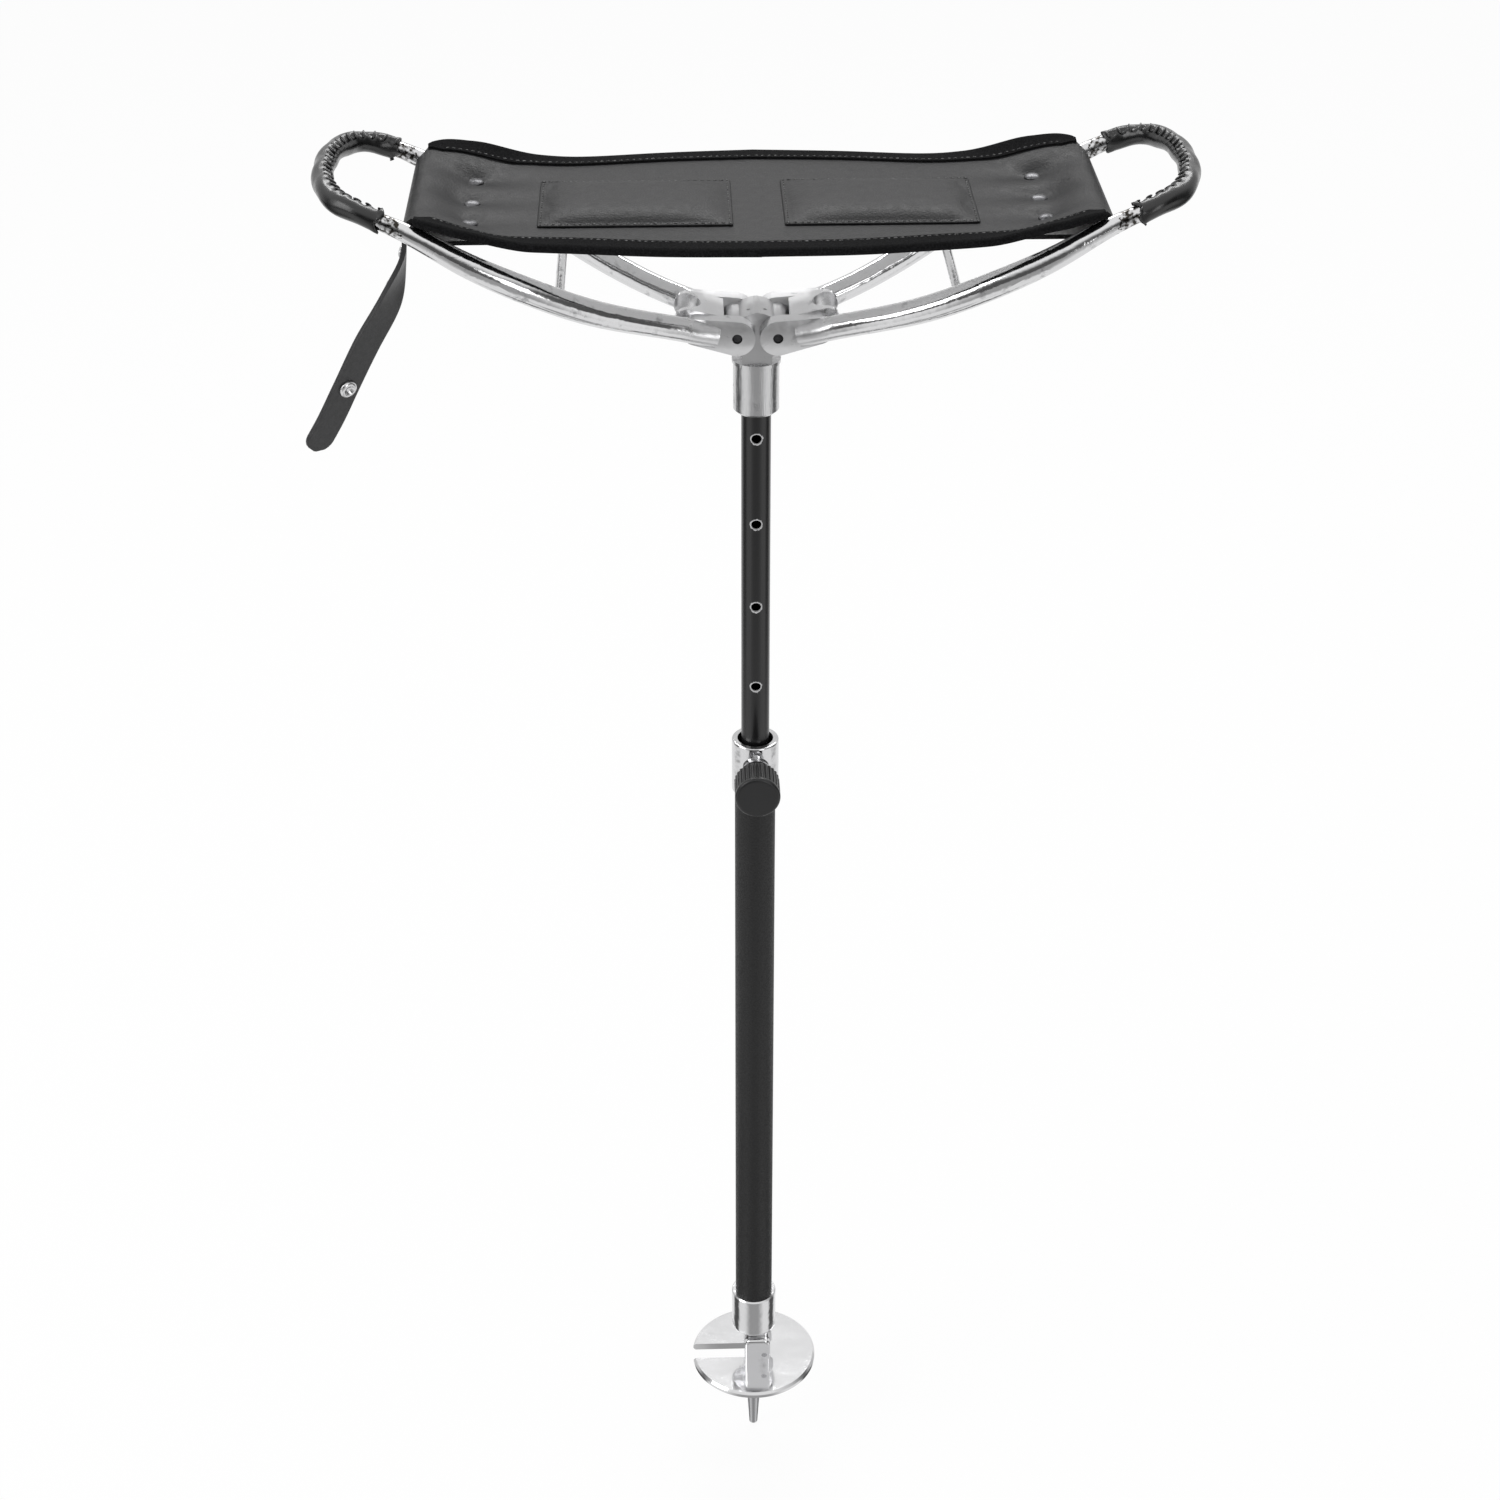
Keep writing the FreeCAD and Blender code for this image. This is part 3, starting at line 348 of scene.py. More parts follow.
# Tubes: drawn aluminium. The upper one has smooth satin black paint, worn bright round the
# holes; the lower one a fine wrinkled black coat that reflects little.
first_hole = 0.470
hole_pitch = 0.051
holes_end = 0.690
worn_rim = 0.0041
upper_black, upper_shader, place = surface("satin_black_tube_paint", "#131314", 0.30)
upper_shader.inputs["Coat Weight"].default_value = 0.15
upper_shader.inputs["Coat Roughness"].default_value = 0.22
along = add_node(upper_black, "ShaderNodeSeparateXYZ", {0: place})
nearest = along.outputs["Z"]
for step, operation in ((first_hole, "SUBTRACT"), (hole_pitch / 2, "ADD"), (hole_pitch, "FLOORED_MODULO"),
                        (hole_pitch / 2, "SUBTRACT")):
    nearest = add_node(upper_black, "ShaderNodeMath", {0: nearest, 1: step}, operation=operation).outputs[0]
flat = add_node(upper_black, "ShaderNodeCombineXYZ", {"X": along.outputs["X"], "Z": nearest})
away = add_node(upper_black, "ShaderNodeVectorMath", {0: flat.outputs[0]}, operation="LENGTH")
chips = add_node(upper_black, "ShaderNodeTexNoise", {"Vector": place, "Scale": 900.0, "Detail": 3.0})
reach = add_node(upper_black, "ShaderNodeMath", {
    0: chips.outputs["Fac"], 1: 0.0016, 2: away.outputs["Value"]}, operation="MULTIPLY_ADD")
rim = add_node(upper_black, "ShaderNodeMapRange", {
    "Value": reach.outputs[0], "From Min": worn_rim, "From Max": worn_rim + 0.0003, "To Min": 1.0,
    "To Max": 0.0})
front = add_node(upper_black, "ShaderNodeMath", {0: along.outputs["Y"], 1: -0.002}, operation="LESS_THAN")
below = add_node(upper_black, "ShaderNodeMath", {0: along.outputs["Z"], 1: holes_end},
                 operation="LESS_THAN")
bare = add_node(upper_black, "ShaderNodeMath", {0: rim.outputs["Result"], 1: front.outputs[0]},
                operation="MULTIPLY")
bare = add_node(upper_black, "ShaderNodeMath", {0: bare.outputs[0], 1: below.outputs[0]},
                operation="MULTIPLY")
shade = add_node(upper_black, "ShaderNodeMix", {
    0: bare.outputs[0], 6: linear("#131314"), 7: linear("#B9B9BA")}, data_type="RGBA")
put_in(upper_black, shade.outputs[2], upper_shader.inputs["Base Color"])
orange_peel = add_node(upper_black, "ShaderNodeTexNoise", {
    "Vector": place, "Scale": 1000 / 2.2, "Detail": 2.0})
peel = add_node(upper_black, "ShaderNodeBump", {
    "Height": orange_peel.outputs["Fac"], "Strength": 0.08, "Distance": 0.0002})
put_in(upper_black, peel.outputs["Normal"], upper_shader.inputs["Normal"])
dress(upper_black, "upper_tube")

# The wrinkled coat's grains are about 0.4 mm; they are drawn at 0.9 mm so that they show.
wrinkle_black, wrinkle_shader, place = surface("wrinkled_black_tube_coat", "#0E0E0F", 0.50)
grains = add_node(wrinkle_black, "ShaderNodeTexVoronoi", {"Vector": place, "Scale": 1000 / 0.9})
beads = add_node(wrinkle_black, "ShaderNodeBump", {
    "Height": grains.outputs["Distance"], "Strength": 0.55, "Distance": 0.0003})
put_in(wrinkle_black, beads.outputs["Normal"], wrinkle_shader.inputs["Normal"])
speckle = add_node(wrinkle_black, "ShaderNodeMapRange", {
    "Value": grains.outputs["Distance"], "From Max": 0.8, "To Min": 0.38, "To Max": 0.62})
put_in(wrinkle_black, speckle.outputs["Result"], wrinkle_shader.inputs["Roughness"])
dress(wrinkle_black, "lower_tube")


# Knob and inner guides: black nylon, moulded, satin with a faint moulding texture. The bush,
# guide ring and end plug are hidden inside and share it.
nylon, nylon_shader, place = surface("moulded_black_nylon", "#171718", 0.36)
mould = add_node(nylon, "ShaderNodeTexNoise", {"Vector": place, "Scale": 1000 / 0.8, "Detail": 3.0})
skin = add_node(nylon, "ShaderNodeBump", {
    "Height": mould.outputs["Fac"], "Strength": 0.15, "Distance": 0.0002})
put_in(nylon, skin.outputs["Normal"], nylon_shader.inputs["Normal"])
sheen = add_node(nylon, "ShaderNodeMapRange", {
    "Value": mould.outputs["Fac"], "To Min": 0.26, "To Max": 0.46})
put_in(nylon, sheen.outputs["Result"], nylon_shader.inputs["Roughness"])
dress(nylon, "clamp_knob", "collar_bush", "guide_ring", "tube_end_plug")


# Steel fittings: turned and drawn bar, left bright. The arms' hinge pins and the cross pin are
# dark, partly as oxidised steel and partly as painted shade for their recesses; the spike is
# duller from use and its turning marks run round it.
steel, *_ = scuffed("bright_steel_bar", "#B8B8BA", "#77777A", 0.22, 0.42, 12.0, 9.0, 0.55)
dress(steel, "plate_hinge_pin", "clamp_screw", "clamp_washer", "left_sling_bar", "right_sling_bar")
# The pins' dark colour is partly oxidised steel and partly painted shade of their recesses.
pin_oxide_and_shade, *_ = scuffed("oxidised_and_shaded_pin_steel", "#4E4E50", "#242425", 0.34, 0.50, 6.0, 5.0, 0.46)
dress(pin_oxide_and_shade, "hub_cross_pin", "left_hinge_pin", "right_hinge_pin")
spike_steel, spike_shader, place = surface("turned_spike_steel", "#C4C4C6", 0.36, metallic=1.0)
lathe = add_node(spike_steel, "ShaderNodeMapping", {"Vector": place, "Scale": (20, 20, 1600)})
rings = add_node(spike_steel, "ShaderNodeTexNoise", {"Vector": lathe.outputs[0], "Scale": 1.0, "Detail": 3.0})
turned = add_node(spike_steel, "ShaderNodeBump", {
    "Height": rings.outputs["Fac"], "Strength": 0.2, "Distance": 0.0002})
put_in(spike_steel, turned.outputs["Normal"], spike_shader.inputs["Normal"])
dress(spike_steel, "ground_spike")


# Seat sling: black leather with a fine pebble grain, satin, on a pale woven backing, folded
# round the steel bars and riveted back. Each half is one piece, because the sling folds in
# the middle when the arms close.
sling_middle = 0.8035
sling_half_thick = 0.0012
sling_bar_out = 0.170
sling_bar_height = 0.807
sling_turn = 0.00585
return_end = 0.131
tuck_from = 0.1702      # past the bar's top the leather tucks in between the rails
tuck_rate = 0.9
rivet_out = 0.145
rivet_gap = 0.030
rivet_dip = 0.0012      # the leather dips this deep round a rivet
rivet_dip_reach = 0.0065
half_widths = [(0.0, 0.0712), (0.047, 0.0690), (0.093, 0.0635), (0.120, 0.0630), (0.148, 0.0625),
               (0.160, 0.0600), (0.167, 0.0570), (tuck_from, 0.0540), (0.1722, 0.0482), (0.30, 0.0480)]
edge_curl = [(0.0, 0.0006), (0.07, 0.0), (0.100, 0.0006), (0.138, 0.0040), (0.158, 0.0024), (0.172, 0.0)]
rivet_folds = [(0.100, 0.0), (0.128, 0.0010), (0.148, 0.0018), (0.163, 0.0010), (0.174, 0.0)]
climb_middle = 0.148    # the leather starts to climb to the bar here, and sooner at its edges
climb_sooner = 0.036
corner_lift = 0.0018    # the sling's corners ride up on the rails
corner_run = 0.004      # and drop off within this much past the bar's top


def eased(x, stops):
    """A value that runs smoothly through (place, value) stops."""
    if x <= stops[0][0]:
        return stops[0][1]
    for k in range(len(stops) - 1):
        (x0, y0), (x1, y1) = stops[k], stops[k + 1]
        if x <= x1:
            before = stops[k - 1] if k else stops[k]
            after = stops[k + 2] if k + 2 < len(stops) else stops[k + 1]
            slope0 = (y1 - before[1]) / (x1 - before[0])
            slope1 = (after[1] - y0) / (after[0] - x0)
            t, run = (x - x0) / (x1 - x0), x1 - x0
            return ((2 * t ** 3 - 3 * t ** 2 + 1) * y0 + (t ** 3 - 2 * t ** 2 + t) * run * slope0
                    + (3 * t ** 2 - 2 * t ** 3) * y1 + (t ** 3 - t ** 2) * run * slope1)
    return stops[-1][1]


def sling_height(side, x, y):
    """Height of the middle of the leather, x out from the stick and y front to back."""
    half = eased(x, half_widths)
    share = min(abs(y) / half, 1.0)
    climb_from = climb_middle - climb_sooner * share ** 2
    climb = min(max((x - climb_from) / (sling_bar_out - climb_from), 0.0), 1.0)
    height = sling_middle + (sling_bar_height + sling_turn - sling_middle) * climb * climb * (3 - 2 * climb)
    curl = eased(x, edge_curl)
    if y < 0:
        curl *= 0.5 if side < 0 else 0.8
    height += curl * share ** 5
    height += eased(x, [(0.150, 0.0), (0.168, corner_lift), (0.172, corner_lift)]) * share ** 6
    fold = eased(x, rivet_folds)
    height += fold * (0.5 - 0.5 * math.cos(2 * math.pi * y / rivet_gap)) * (1 - share ** 4)
    for row in (-1, 0, 1):
        gap = math.hypot(x - rivet_out, y - row * rivet_gap)
        height -= rivet_dip * math.exp(-(gap / rivet_dip_reach) ** 2)
    return height


def sling_point(side, run, y_share):
    """A point on the leather: run goes out along the top, round the bar and back below."""
    half_turn = math.pi * sling_turn
    if run <= sling_bar_out:
        y = y_share * eased(run, half_widths)
        return Vector((side * run, y, sling_height(side, run, y)))
    y = y_share * eased(tuck_from + (run - sling_bar_out) * tuck_rate, half_widths)
    if run <= sling_bar_out + half_turn:
        angle = math.pi / 2 - (run - sling_bar_out) / sling_turn
        lift = corner_lift * max(1 - (run - sling_bar_out) / corner_run, 0.0) * abs(y_share) ** 6
        return Vector((side * (sling_bar_out + sling_turn * math.cos(angle)), y,
                       sling_bar_height + sling_turn * math.sin(angle) + lift))
    back = run - sling_bar_out - half_turn
    return Vector((side * (sling_bar_out - back), y, sling_bar_height - sling_turn))


leather, leather_shader, place = surface("black_pebbled_leather", "#1B1B1C", 0.42)
leather_shader.inputs["IOR"].default_value = 1.40
leather_shader.inputs["Specular IOR Level"].default_value = 0.30
pebbles = add_node(leather, "ShaderNodeTexVoronoi", {
    "Vector": place, "Scale": 1000 / 1.3, "Randomness": 1.0})
creases = add_node(leather, "ShaderNodeTexNoise", {
    "Vector": place, "Scale": 1000 / 5.0, "Detail": 6.0, "Roughness": 0.7})
grain = add_node(leather, "ShaderNodeBump", {
    "Height": pebbles.outputs["Distance"], "Strength": 0.34, "Distance": 0.0003})
folds = add_node(leather, "ShaderNodeBump", {
    "Height": creases.outputs["Fac"], "Strength": 0.22, "Distance": 0.0007,
    "Normal": grain.outputs["Normal"]})
put_in(leather, folds.outputs["Normal"], leather_shader.inputs["Normal"])
worn = add_node(leather, "ShaderNodeMapRange", {
    "Value": creases.outputs["Fac"], "From Min": 0.3, "From Max": 0.7, "To Min": 0.36, "To Max": 0.52})
put_in(leather, worn.outputs["Result"], leather_shader.inputs["Roughness"])
faded = add_node(leather, "ShaderNodeMapRange", {
    "Value": creases.outputs["Fac"], "From Min": 0.35, "From Max": 0.75})
tone = add_node(leather, "ShaderNodeMix", {
    0: faded.outputs["Result"], 6: linear("#161617"), 7: linear("#232324")}, data_type="RGBA")
put_in(leather, tone.outputs[2], leather_shader.inputs["Base Color"])

# The backing is a pale plain weave. Its threads are taken to lie about 0.5 mm apart and are drawn
# 3 mm apart, so that they show: a wave of scale 1 repeats every 2 pi / 20 m.
thread_gap_mm = 3.14159
backing, backing_shader, place = surface("pale_woven_backing", "#E8E8E8", 0.85)
threads = []
for way in ("X", "Y"):
    wave = add_node(backing, "ShaderNodeTexWave", {
        "Vector": place, "Scale": 2 * math.pi / 20 * 1000 / thread_gap_mm, "Distortion": 0.4},
        bands_direction=way)
    threads.append(wave.outputs["Fac"])
crossing = add_node(backing, "ShaderNodeMath", {0: threads[0], 1: threads[1]}, operation="MULTIPLY")
weave = add_node(backing, "ShaderNodeBump", {
    "Height": crossing.outputs[0], "Strength": 0.5, "Distance": 0.0002})
put_in(backing, weave.outputs["Normal"], backing_shader.inputs["Normal"])
soiled = add_node(backing, "ShaderNodeMix", {
    0: crossing.outputs[0], 6: linear("#D8D8D8"), 7: linear("#F0F0F0")}, data_type="RGBA")
put_in(backing, soiled.outputs[2], backing_shader.inputs["Base Color"])

# Cut flat, a half runs from the middle to the bar, half round it and back past the rivets. It is
# waisted, so its area is only a share of the rectangle.
sling_run = sling_bar_out + math.pi * sling_turn + (sling_bar_out - return_end)


def live(piece, kind, **settings):
    """A modifier on a piece."""
    made = piece.modifiers.new(kind.lower(), kind)
    for name, value in settings.items():
        setattr(made, name, value)
    return made


def fold_with_arm(piece):
    """Bake a soft piece's place into its mesh; it is not attached to the hub or its arm."""
    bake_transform(piece)


corner_angle = math.radians(50)

for side, hand in ((-1, "left"), (1, "right")):
    mesh = bmesh.new()
    bmesh.ops.create_grid(mesh, x_segments=110, y_segments=56, size=0.5)
    for corner in mesh.verts:
        corner.co = sling_point(side, (corner.co.x + 0.5) * sling_run, corner.co.y * 2)
    if side < 0:
        bmesh.ops.reverse_faces(mesh, faces=mesh.faces)
    half = finish_mesh(mesh, hand + "_sling_half", leather)
    half.data.materials.append(backing)
    live(half, "SOLIDIFY", thickness=2 * sling_half_thick, offset=0.0, use_rim=True, material_offset=1)
    live(half, "EDGE_SPLIT", split_angle=corner_angle)
    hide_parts("seat_sling")
    fold_with_arm(half)


# Edge bindings: strips of black felt-like cloth folded over the sling's long edges and sewn
# through, one along the front and one along the rear, each in two halves like the sling.
binding_width = 0.0105
binding_half_thick = 0.0005
binding_lift = sling_half_thick + binding_half_thick + 0.0001
binding_end = tuck_from
binding_bend = 0.18     # the share of the strip that goes round the edge
binding_taper = 0.012   # near its end it narrows at the rate of its whole width in this length
binding_end_share = 0.35

felt, felt_shader, place = surface("black_binding_felt", "#0C0C0D", 0.92)
felt_shader.inputs["Specular IOR Level"].default_value = 0.12
fibre = add_node(felt, "ShaderNodeTexNoise", {
    "Vector": place, "Scale": 1000 / 0.9, "Detail": 4.0, "Roughness": 0.75})
nap = add_node(felt, "ShaderNodeBump", {
    "Height": fibre.outputs["Fac"], "Strength": 0.9, "Distance": 0.0008})
put_in(felt, nap.outputs["Normal"], felt_shader.inputs["Normal"])
lint = add_node(felt, "ShaderNodeMapRange", {
    "Value": fibre.outputs["Fac"], "From Min": 0.45, "From Max": 0.8})
tone = add_node(felt, "ShaderNodeMix", {
    0: lint.outputs["Result"], 6: linear("#0B0B0C"), 7: linear("#28282A")}, data_type="RGBA")
put_in(felt, tone.outputs[2], felt_shader.inputs["Base Color"])


def binding_point(side, edge, out, round_share):
    """A point on the folded strip; round_share goes from the top hem over the edge to below."""
    half = eased(out, half_widths) + 0.0004
    width = binding_width * min(1.0, (binding_end - out) / binding_taper + binding_end_share)
    if abs(round_share) <= binding_bend:
        angle = round_share / binding_bend * math.pi / 2
        inset = -binding_lift * math.cos(angle)
        lift = -binding_lift * math.sin(angle)
    else:
        inset = (abs(round_share) - binding_bend) / (1 - binding_bend) * width
        lift = -math.copysign(binding_lift, round_share)
    height = sling_height(side, out, edge * (half - max(inset, 0.0)))
    return Vector((side * out, edge * (half - inset), height + lift))


for side, hand in ((-1, "left"), (1, "right")):
    for edge, where in ((-1, "front"), (1, "rear")):
        mesh = bmesh.new()
        bmesh.ops.create_grid(mesh, x_segments=90, y_segments=22, size=0.5)
        for corner in mesh.verts:
            corner.co = binding_point(side, edge, (corner.co.x + 0.5) * binding_end, corner.co.y * 2)
        if side * edge < 0:
            bmesh.ops.reverse_faces(mesh, faces=mesh.faces)
        strip = finish_mesh(mesh, hand + "_" + where + "_binding", felt)
        live(strip, "SOLIDIFY", thickness=2 * binding_half_thick, offset=0.0, use_rim=True)
        live(strip, "EDGE_SPLIT", split_angle=corner_angle)
        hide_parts(where + "_binding")
        fold_with_arm(strip)


# Seat pads: a foam pillow under a leather patch, sewn down all round on each half of the
# seat. The foam swells the leather, so it is blown up by a cloth simulation from a flat patch.
pad_near = 0.0128
pad_far = 0.1110
pad_front = -0.0375
pad_rear = 0.0275
pad_hem = 0.0032
pad_rise = 0.0042
pad_seat = 0.0011
patch_thick = 0.0010
swell_frames = 20


def pad_shape(side, hand):
    """The patch before it swells: a fine sheet lying on the sling."""
    mesh = bmesh.new()
    bmesh.ops.create_grid(mesh, x_segments=48, y_segments=34, size=0.5)
    for corner in mesh.verts:
        x = pad_near + (corner.co.x + 0.5) * (pad_far - pad_near)
        y = pad_front + (corner.co.y + 0.5) * (pad_rear - pad_front)
        corner.co = Vector((side * x, y, sling_height(side, x, y) + sling_half_thick + pad_seat))
    if side < 0:
        bmesh.ops.reverse_faces(mesh, faces=mesh.faces)
    return finish_mesh(mesh, hand + "_seat_pad", leather)


def swell(pad):
    """Blow the patch up with its hem held, then keep the swollen shape up to the rise."""
    hem = pad.vertex_groups.new(name="hem")
    rest = [corner.co.copy() for corner in pad.data.vertices]
    held = []
    for index, corner in enumerate(rest):
        x, y = abs(corner.x), corner.y
        inside = min(x - pad_near, pad_far - x, y - pad_front, pad_rear - y)
        if inside < pad_hem:
            held.append(index)
    hem.add(held, 1.0, "REPLACE")
    cloth = live(pad, "CLOTH")
    cloth.settings.quality = 6
    cloth.settings.mass = 0.3
    cloth.settings.tension_stiffness = 6.0
    cloth.settings.compression_stiffness = 6.0
    cloth.settings.bending_stiffness = 0.6
    cloth.settings.vertex_group_mass = "hem"
    cloth.settings.use_pressure = True
    cloth.settings.uniform_pressure_force = 4.0
    cloth.settings.effector_weights.gravity = 0.0
    cloth.point_cache.frame_start = 1
    cloth.point_cache.frame_end = swell_frames
    for step in range(1, swell_frames + 1):
        bpy.context.scene.frame_set(step)
    swollen = pad.evaluated_get(bpy.context.evaluated_depsgraph_get())
    reached = [corner.co.copy() for corner in swollen.data.vertices]
    bpy.context.scene.frame_set(1)
    pad.modifiers.clear()
    top = max(max(b.z - a.z for a, b in zip(rest, reached)), 1e-6)
    for corner, before, after in zip(pad.data.vertices, rest, reached):
        share = max(after.z - before.z, 0.0) / top
        corner.co = before + Vector((0, 0, pad_rise * (1 - (1 - share) ** 2.2)))


for side, hand in ((-1, "left"), (1, "right")):
    pad = pad_shape(side, hand)
    swell(pad)
    live(pad, "SOLIDIFY", thickness=patch_thick, offset=-1.0, use_rim=True)
    live(pad, "SUBSURF", levels=1, render_levels=1)
    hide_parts(hand + "_pad")
    fold_with_arm(pad)


# Stitching: waxed black thread, sewn by machine round each pad and through each binding.
# Each stitch is a short bead lying in the leather; real ones are about 2.5 mm long.
stitch_long = 0.0024
stitch_step = 0.0034
stitch_thick = 0.00085
pad_seam_inset = 0.55   # the pad's seam runs this share of the way across its hem
pad_side_steps = 8
binding_seam_inset = 0.0022
binding_seam_from = 0.002
binding_seam_run = 0.160
binding_seam_steps = 59

thread, thread_shader, place = surface("waxed_thread", "#2B2B2C", 0.45)
twist = add_node(thread, "ShaderNodeTexNoise", {"Vector": place, "Scale": 1000 / 1.1, "Detail": 2.0})
lighter = add_node(thread, "ShaderNodeMapRange", {
    "Value": twist.outputs["Fac"], "From Min": 0.45, "From Max": 0.62})
tone = add_node(thread, "ShaderNodeMix", {
    0: lighter.outputs["Result"], 6: linear("#0B0B0B"), 7: linear("#6E6E6E")}, data_type="RGBA")
put_in(thread, tone.outputs[2], thread_shader.inputs["Base Color"])


def sew(mesh, line, lift):
    """Stitches along a line of surface points, each bedded lift above it."""
    spare = 0.0
    for a, b in zip(line, line[1:]):
        run = (b - a).length
        at = spare
        while at < run:
            middle = a.lerp(b, at / run) + Vector((0, 0, lift))
            along = (b - a).normalized()
            turn = along.to_track_quat("Z", "Y").to_matrix().to_4x4()
            bead = bmesh.ops.create_icosphere(mesh, subdivisions=1, radius=0.5)
            bmesh.ops.scale(mesh, verts=bead["verts"], vec=(stitch_thick, stitch_thick, stitch_long))
            bmesh.ops.transform(mesh, verts=bead["verts"], matrix=Matrix.Translation(middle) @ turn)
            at += stitch_step
        spare = at - run


for side, hand in ((-1, "left"), (1, "right")):
    mesh = bmesh.new()
    inset = pad_hem * pad_seam_inset
    low_x, high_x = pad_near + inset, pad_far - inset
    low_y, high_y = pad_front + inset, pad_rear - inset
    corners = [(low_x, low_y), (high_x, low_y), (high_x, high_y), (low_x, high_y), (low_x, low_y)]
    for (ax, ay), (bx, by) in zip(corners, corners[1:]):
        line = []
        for step in range(pad_side_steps + 1):
            x = ax + (bx - ax) * step / pad_side_steps
            y = ay + (by - ay) * step / pad_side_steps
            line.append(Vector((side * x, y, sling_height(side, x, y) + sling_half_thick + pad_seat)))
        sew(mesh, line, 0.0001)
    for edge in (-1, 1):
        line = []
        for step in range(binding_seam_steps + 1):
            x = binding_seam_from + step / binding_seam_steps * binding_seam_run
            y = edge * (eased(x, half_widths) - binding_width + binding_seam_inset)
            line.append(Vector((side * x, y, sling_height(side, x, y) + binding_lift + binding_half_thick)))
        sew(mesh, line, 0.0)
    stitches = finish_mesh(mesh, hand + "_stitching", thread)
    fold_with_arm(stitches)


# Rivets: three domed steel rivets on each side, japanned dark and rubbed bright in places. They
# clamp the folded end of the sling, so the leather dips round each one.
rivet_head = 0.0044
rivet_dome = 0.42
burr_radius = 0.0036
burr_edge = 0.0030
burr_thick = 0.0014
rivet_steel, *_ = scuffed("dark_rivet_steel", "#6E6E70", "#2C2C2E", 0.30, 0.44, 5.0, 4.0, 0.46)
for side, hand in ((-1, "left"), (1, "right")):
    mesh = bmesh.new()
    for row in (-1, 0, 1):
        y = row * rivet_gap
        top = sling_height(side, rivet_out, y) + sling_half_thick
        dome = bmesh.ops.create_uvsphere(mesh, u_segments=28, v_segments=14, radius=rivet_head)
        bmesh.ops.scale(mesh, verts=dome["verts"], vec=(1, 1, rivet_dome))
        bmesh.ops.translate(mesh, verts=dome["verts"], vec=(side * rivet_out, y, top + 0.0002))
        burr = bmesh.ops.create_cone(mesh, segments=24, radius1=burr_radius, radius2=burr_edge,
                                     depth=burr_thick, cap_ends=True)
        under = sling_bar_height - sling_turn - sling_half_thick
        bmesh.ops.translate(mesh, verts=burr["verts"], vec=(side * rivet_out, y, under - burr_thick / 2))
    rivets = finish_mesh(mesh, hand + "_rivets", rivet_steel)
    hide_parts(hand + "_sling_rivets")
    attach(rivets, hand + "_side")


# Grips: a strip of black leather wrapped round each end loop and laced along the inside of
# the curve. The lacing draws the seam into puckers, and the two ends are cut ragged.
loop_half = [(0.1870, 0.0536, 0.8151), (0.1978, 0.0514, 0.8191), (0.2074, 0.0450, 0.8216),
             (0.2135, 0.0341, 0.8230), (0.2166, 0.0236, 0.8236), (0.2181, 0.0118, 0.8239),
             (0.2185, 0.0, 0.8240)]
grip_radius = 0.0055
grip_thick = 0.0011
seam_turn = math.radians(58)
pucker_rise = 0.0011    # the leather stands out under the laces
pucker_draw = 0.0005    # and is drawn in between them
pucker_turn = 0.42      # a pucker and the groove fade this far round from the seam, in radians
groove_turn = 0.09
seam_groove = 0.0007
ragged_out = 0.0018
ragged_share = 0.004
uneven_share = 0.02     # the leather's radius is uneven over this last share at each end
laces = 22
lace_thick = 0.0016
lace_long = 0.0062
lace_slant = 0.45
lace_margin = 0.01
merge_within = 0.00001

loop_route = [Vector((x, -y, z)) for x, y, z in loop_half] + [Vector(p) for p in reversed(loop_half[:-1])]
loop_reach = [0.0]
for a, b in zip(loop_route, loop_route[1:]):
    loop_reach.append(loop_reach[-1] + (b - a).length)
loop_stops = [list(zip(loop_reach, [p[axis] for p in loop_route])) for axis in range(3)]


def on_loop(share):
    """Place on the loop's centre line, share of the way to the rear, and its axes: along, in and up."""
    at = share * loop_reach[-1]
    where = []
    for reach in (at - 0.0005, at, at + 0.0005):
        reach = min(max(reach, 0.0), loop_reach[-1])
        where.append(Vector([eased(reach, stops) for stops in loop_stops]))
    along = (where[2] - where[0]).normalized()
    inward = upright.cross(along).normalized()
    lift = along.cross(inward).normalized()
    if lift.z < 0:
        lift = -lift
    return where[1], along, inward, lift


grip_leather, grip_shader, place = surface("worn_grip_leather", "#0B0B0C", 0.30)
grip_shader.inputs["Coat Weight"].default_value = 0.4
grip_shader.inputs["Coat Roughness"].default_value = 0.18
handled = add_node(grip_leather, "ShaderNodeTexNoise", {
    "Vector": place, "Scale": 1000 / 4.0, "Detail": 6.0, "Roughness": 0.7})
wrinkle = add_node(grip_leather, "ShaderNodeBump", {
    "Height": handled.outputs["Fac"], "Strength": 0.14, "Distance": 0.0004})
put_in(grip_leather, wrinkle.outputs["Normal"], grip_shader.inputs["Normal"])
sweat = add_node(grip_leather, "ShaderNodeMapRange", {
    "Value": handled.outputs["Fac"], "From Min": 0.3, "From Max": 0.7, "To Min": 0.22, "To Max": 0.46})
put_in(grip_leather, sweat.outputs["Result"], grip_shader.inputs["Roughness"])

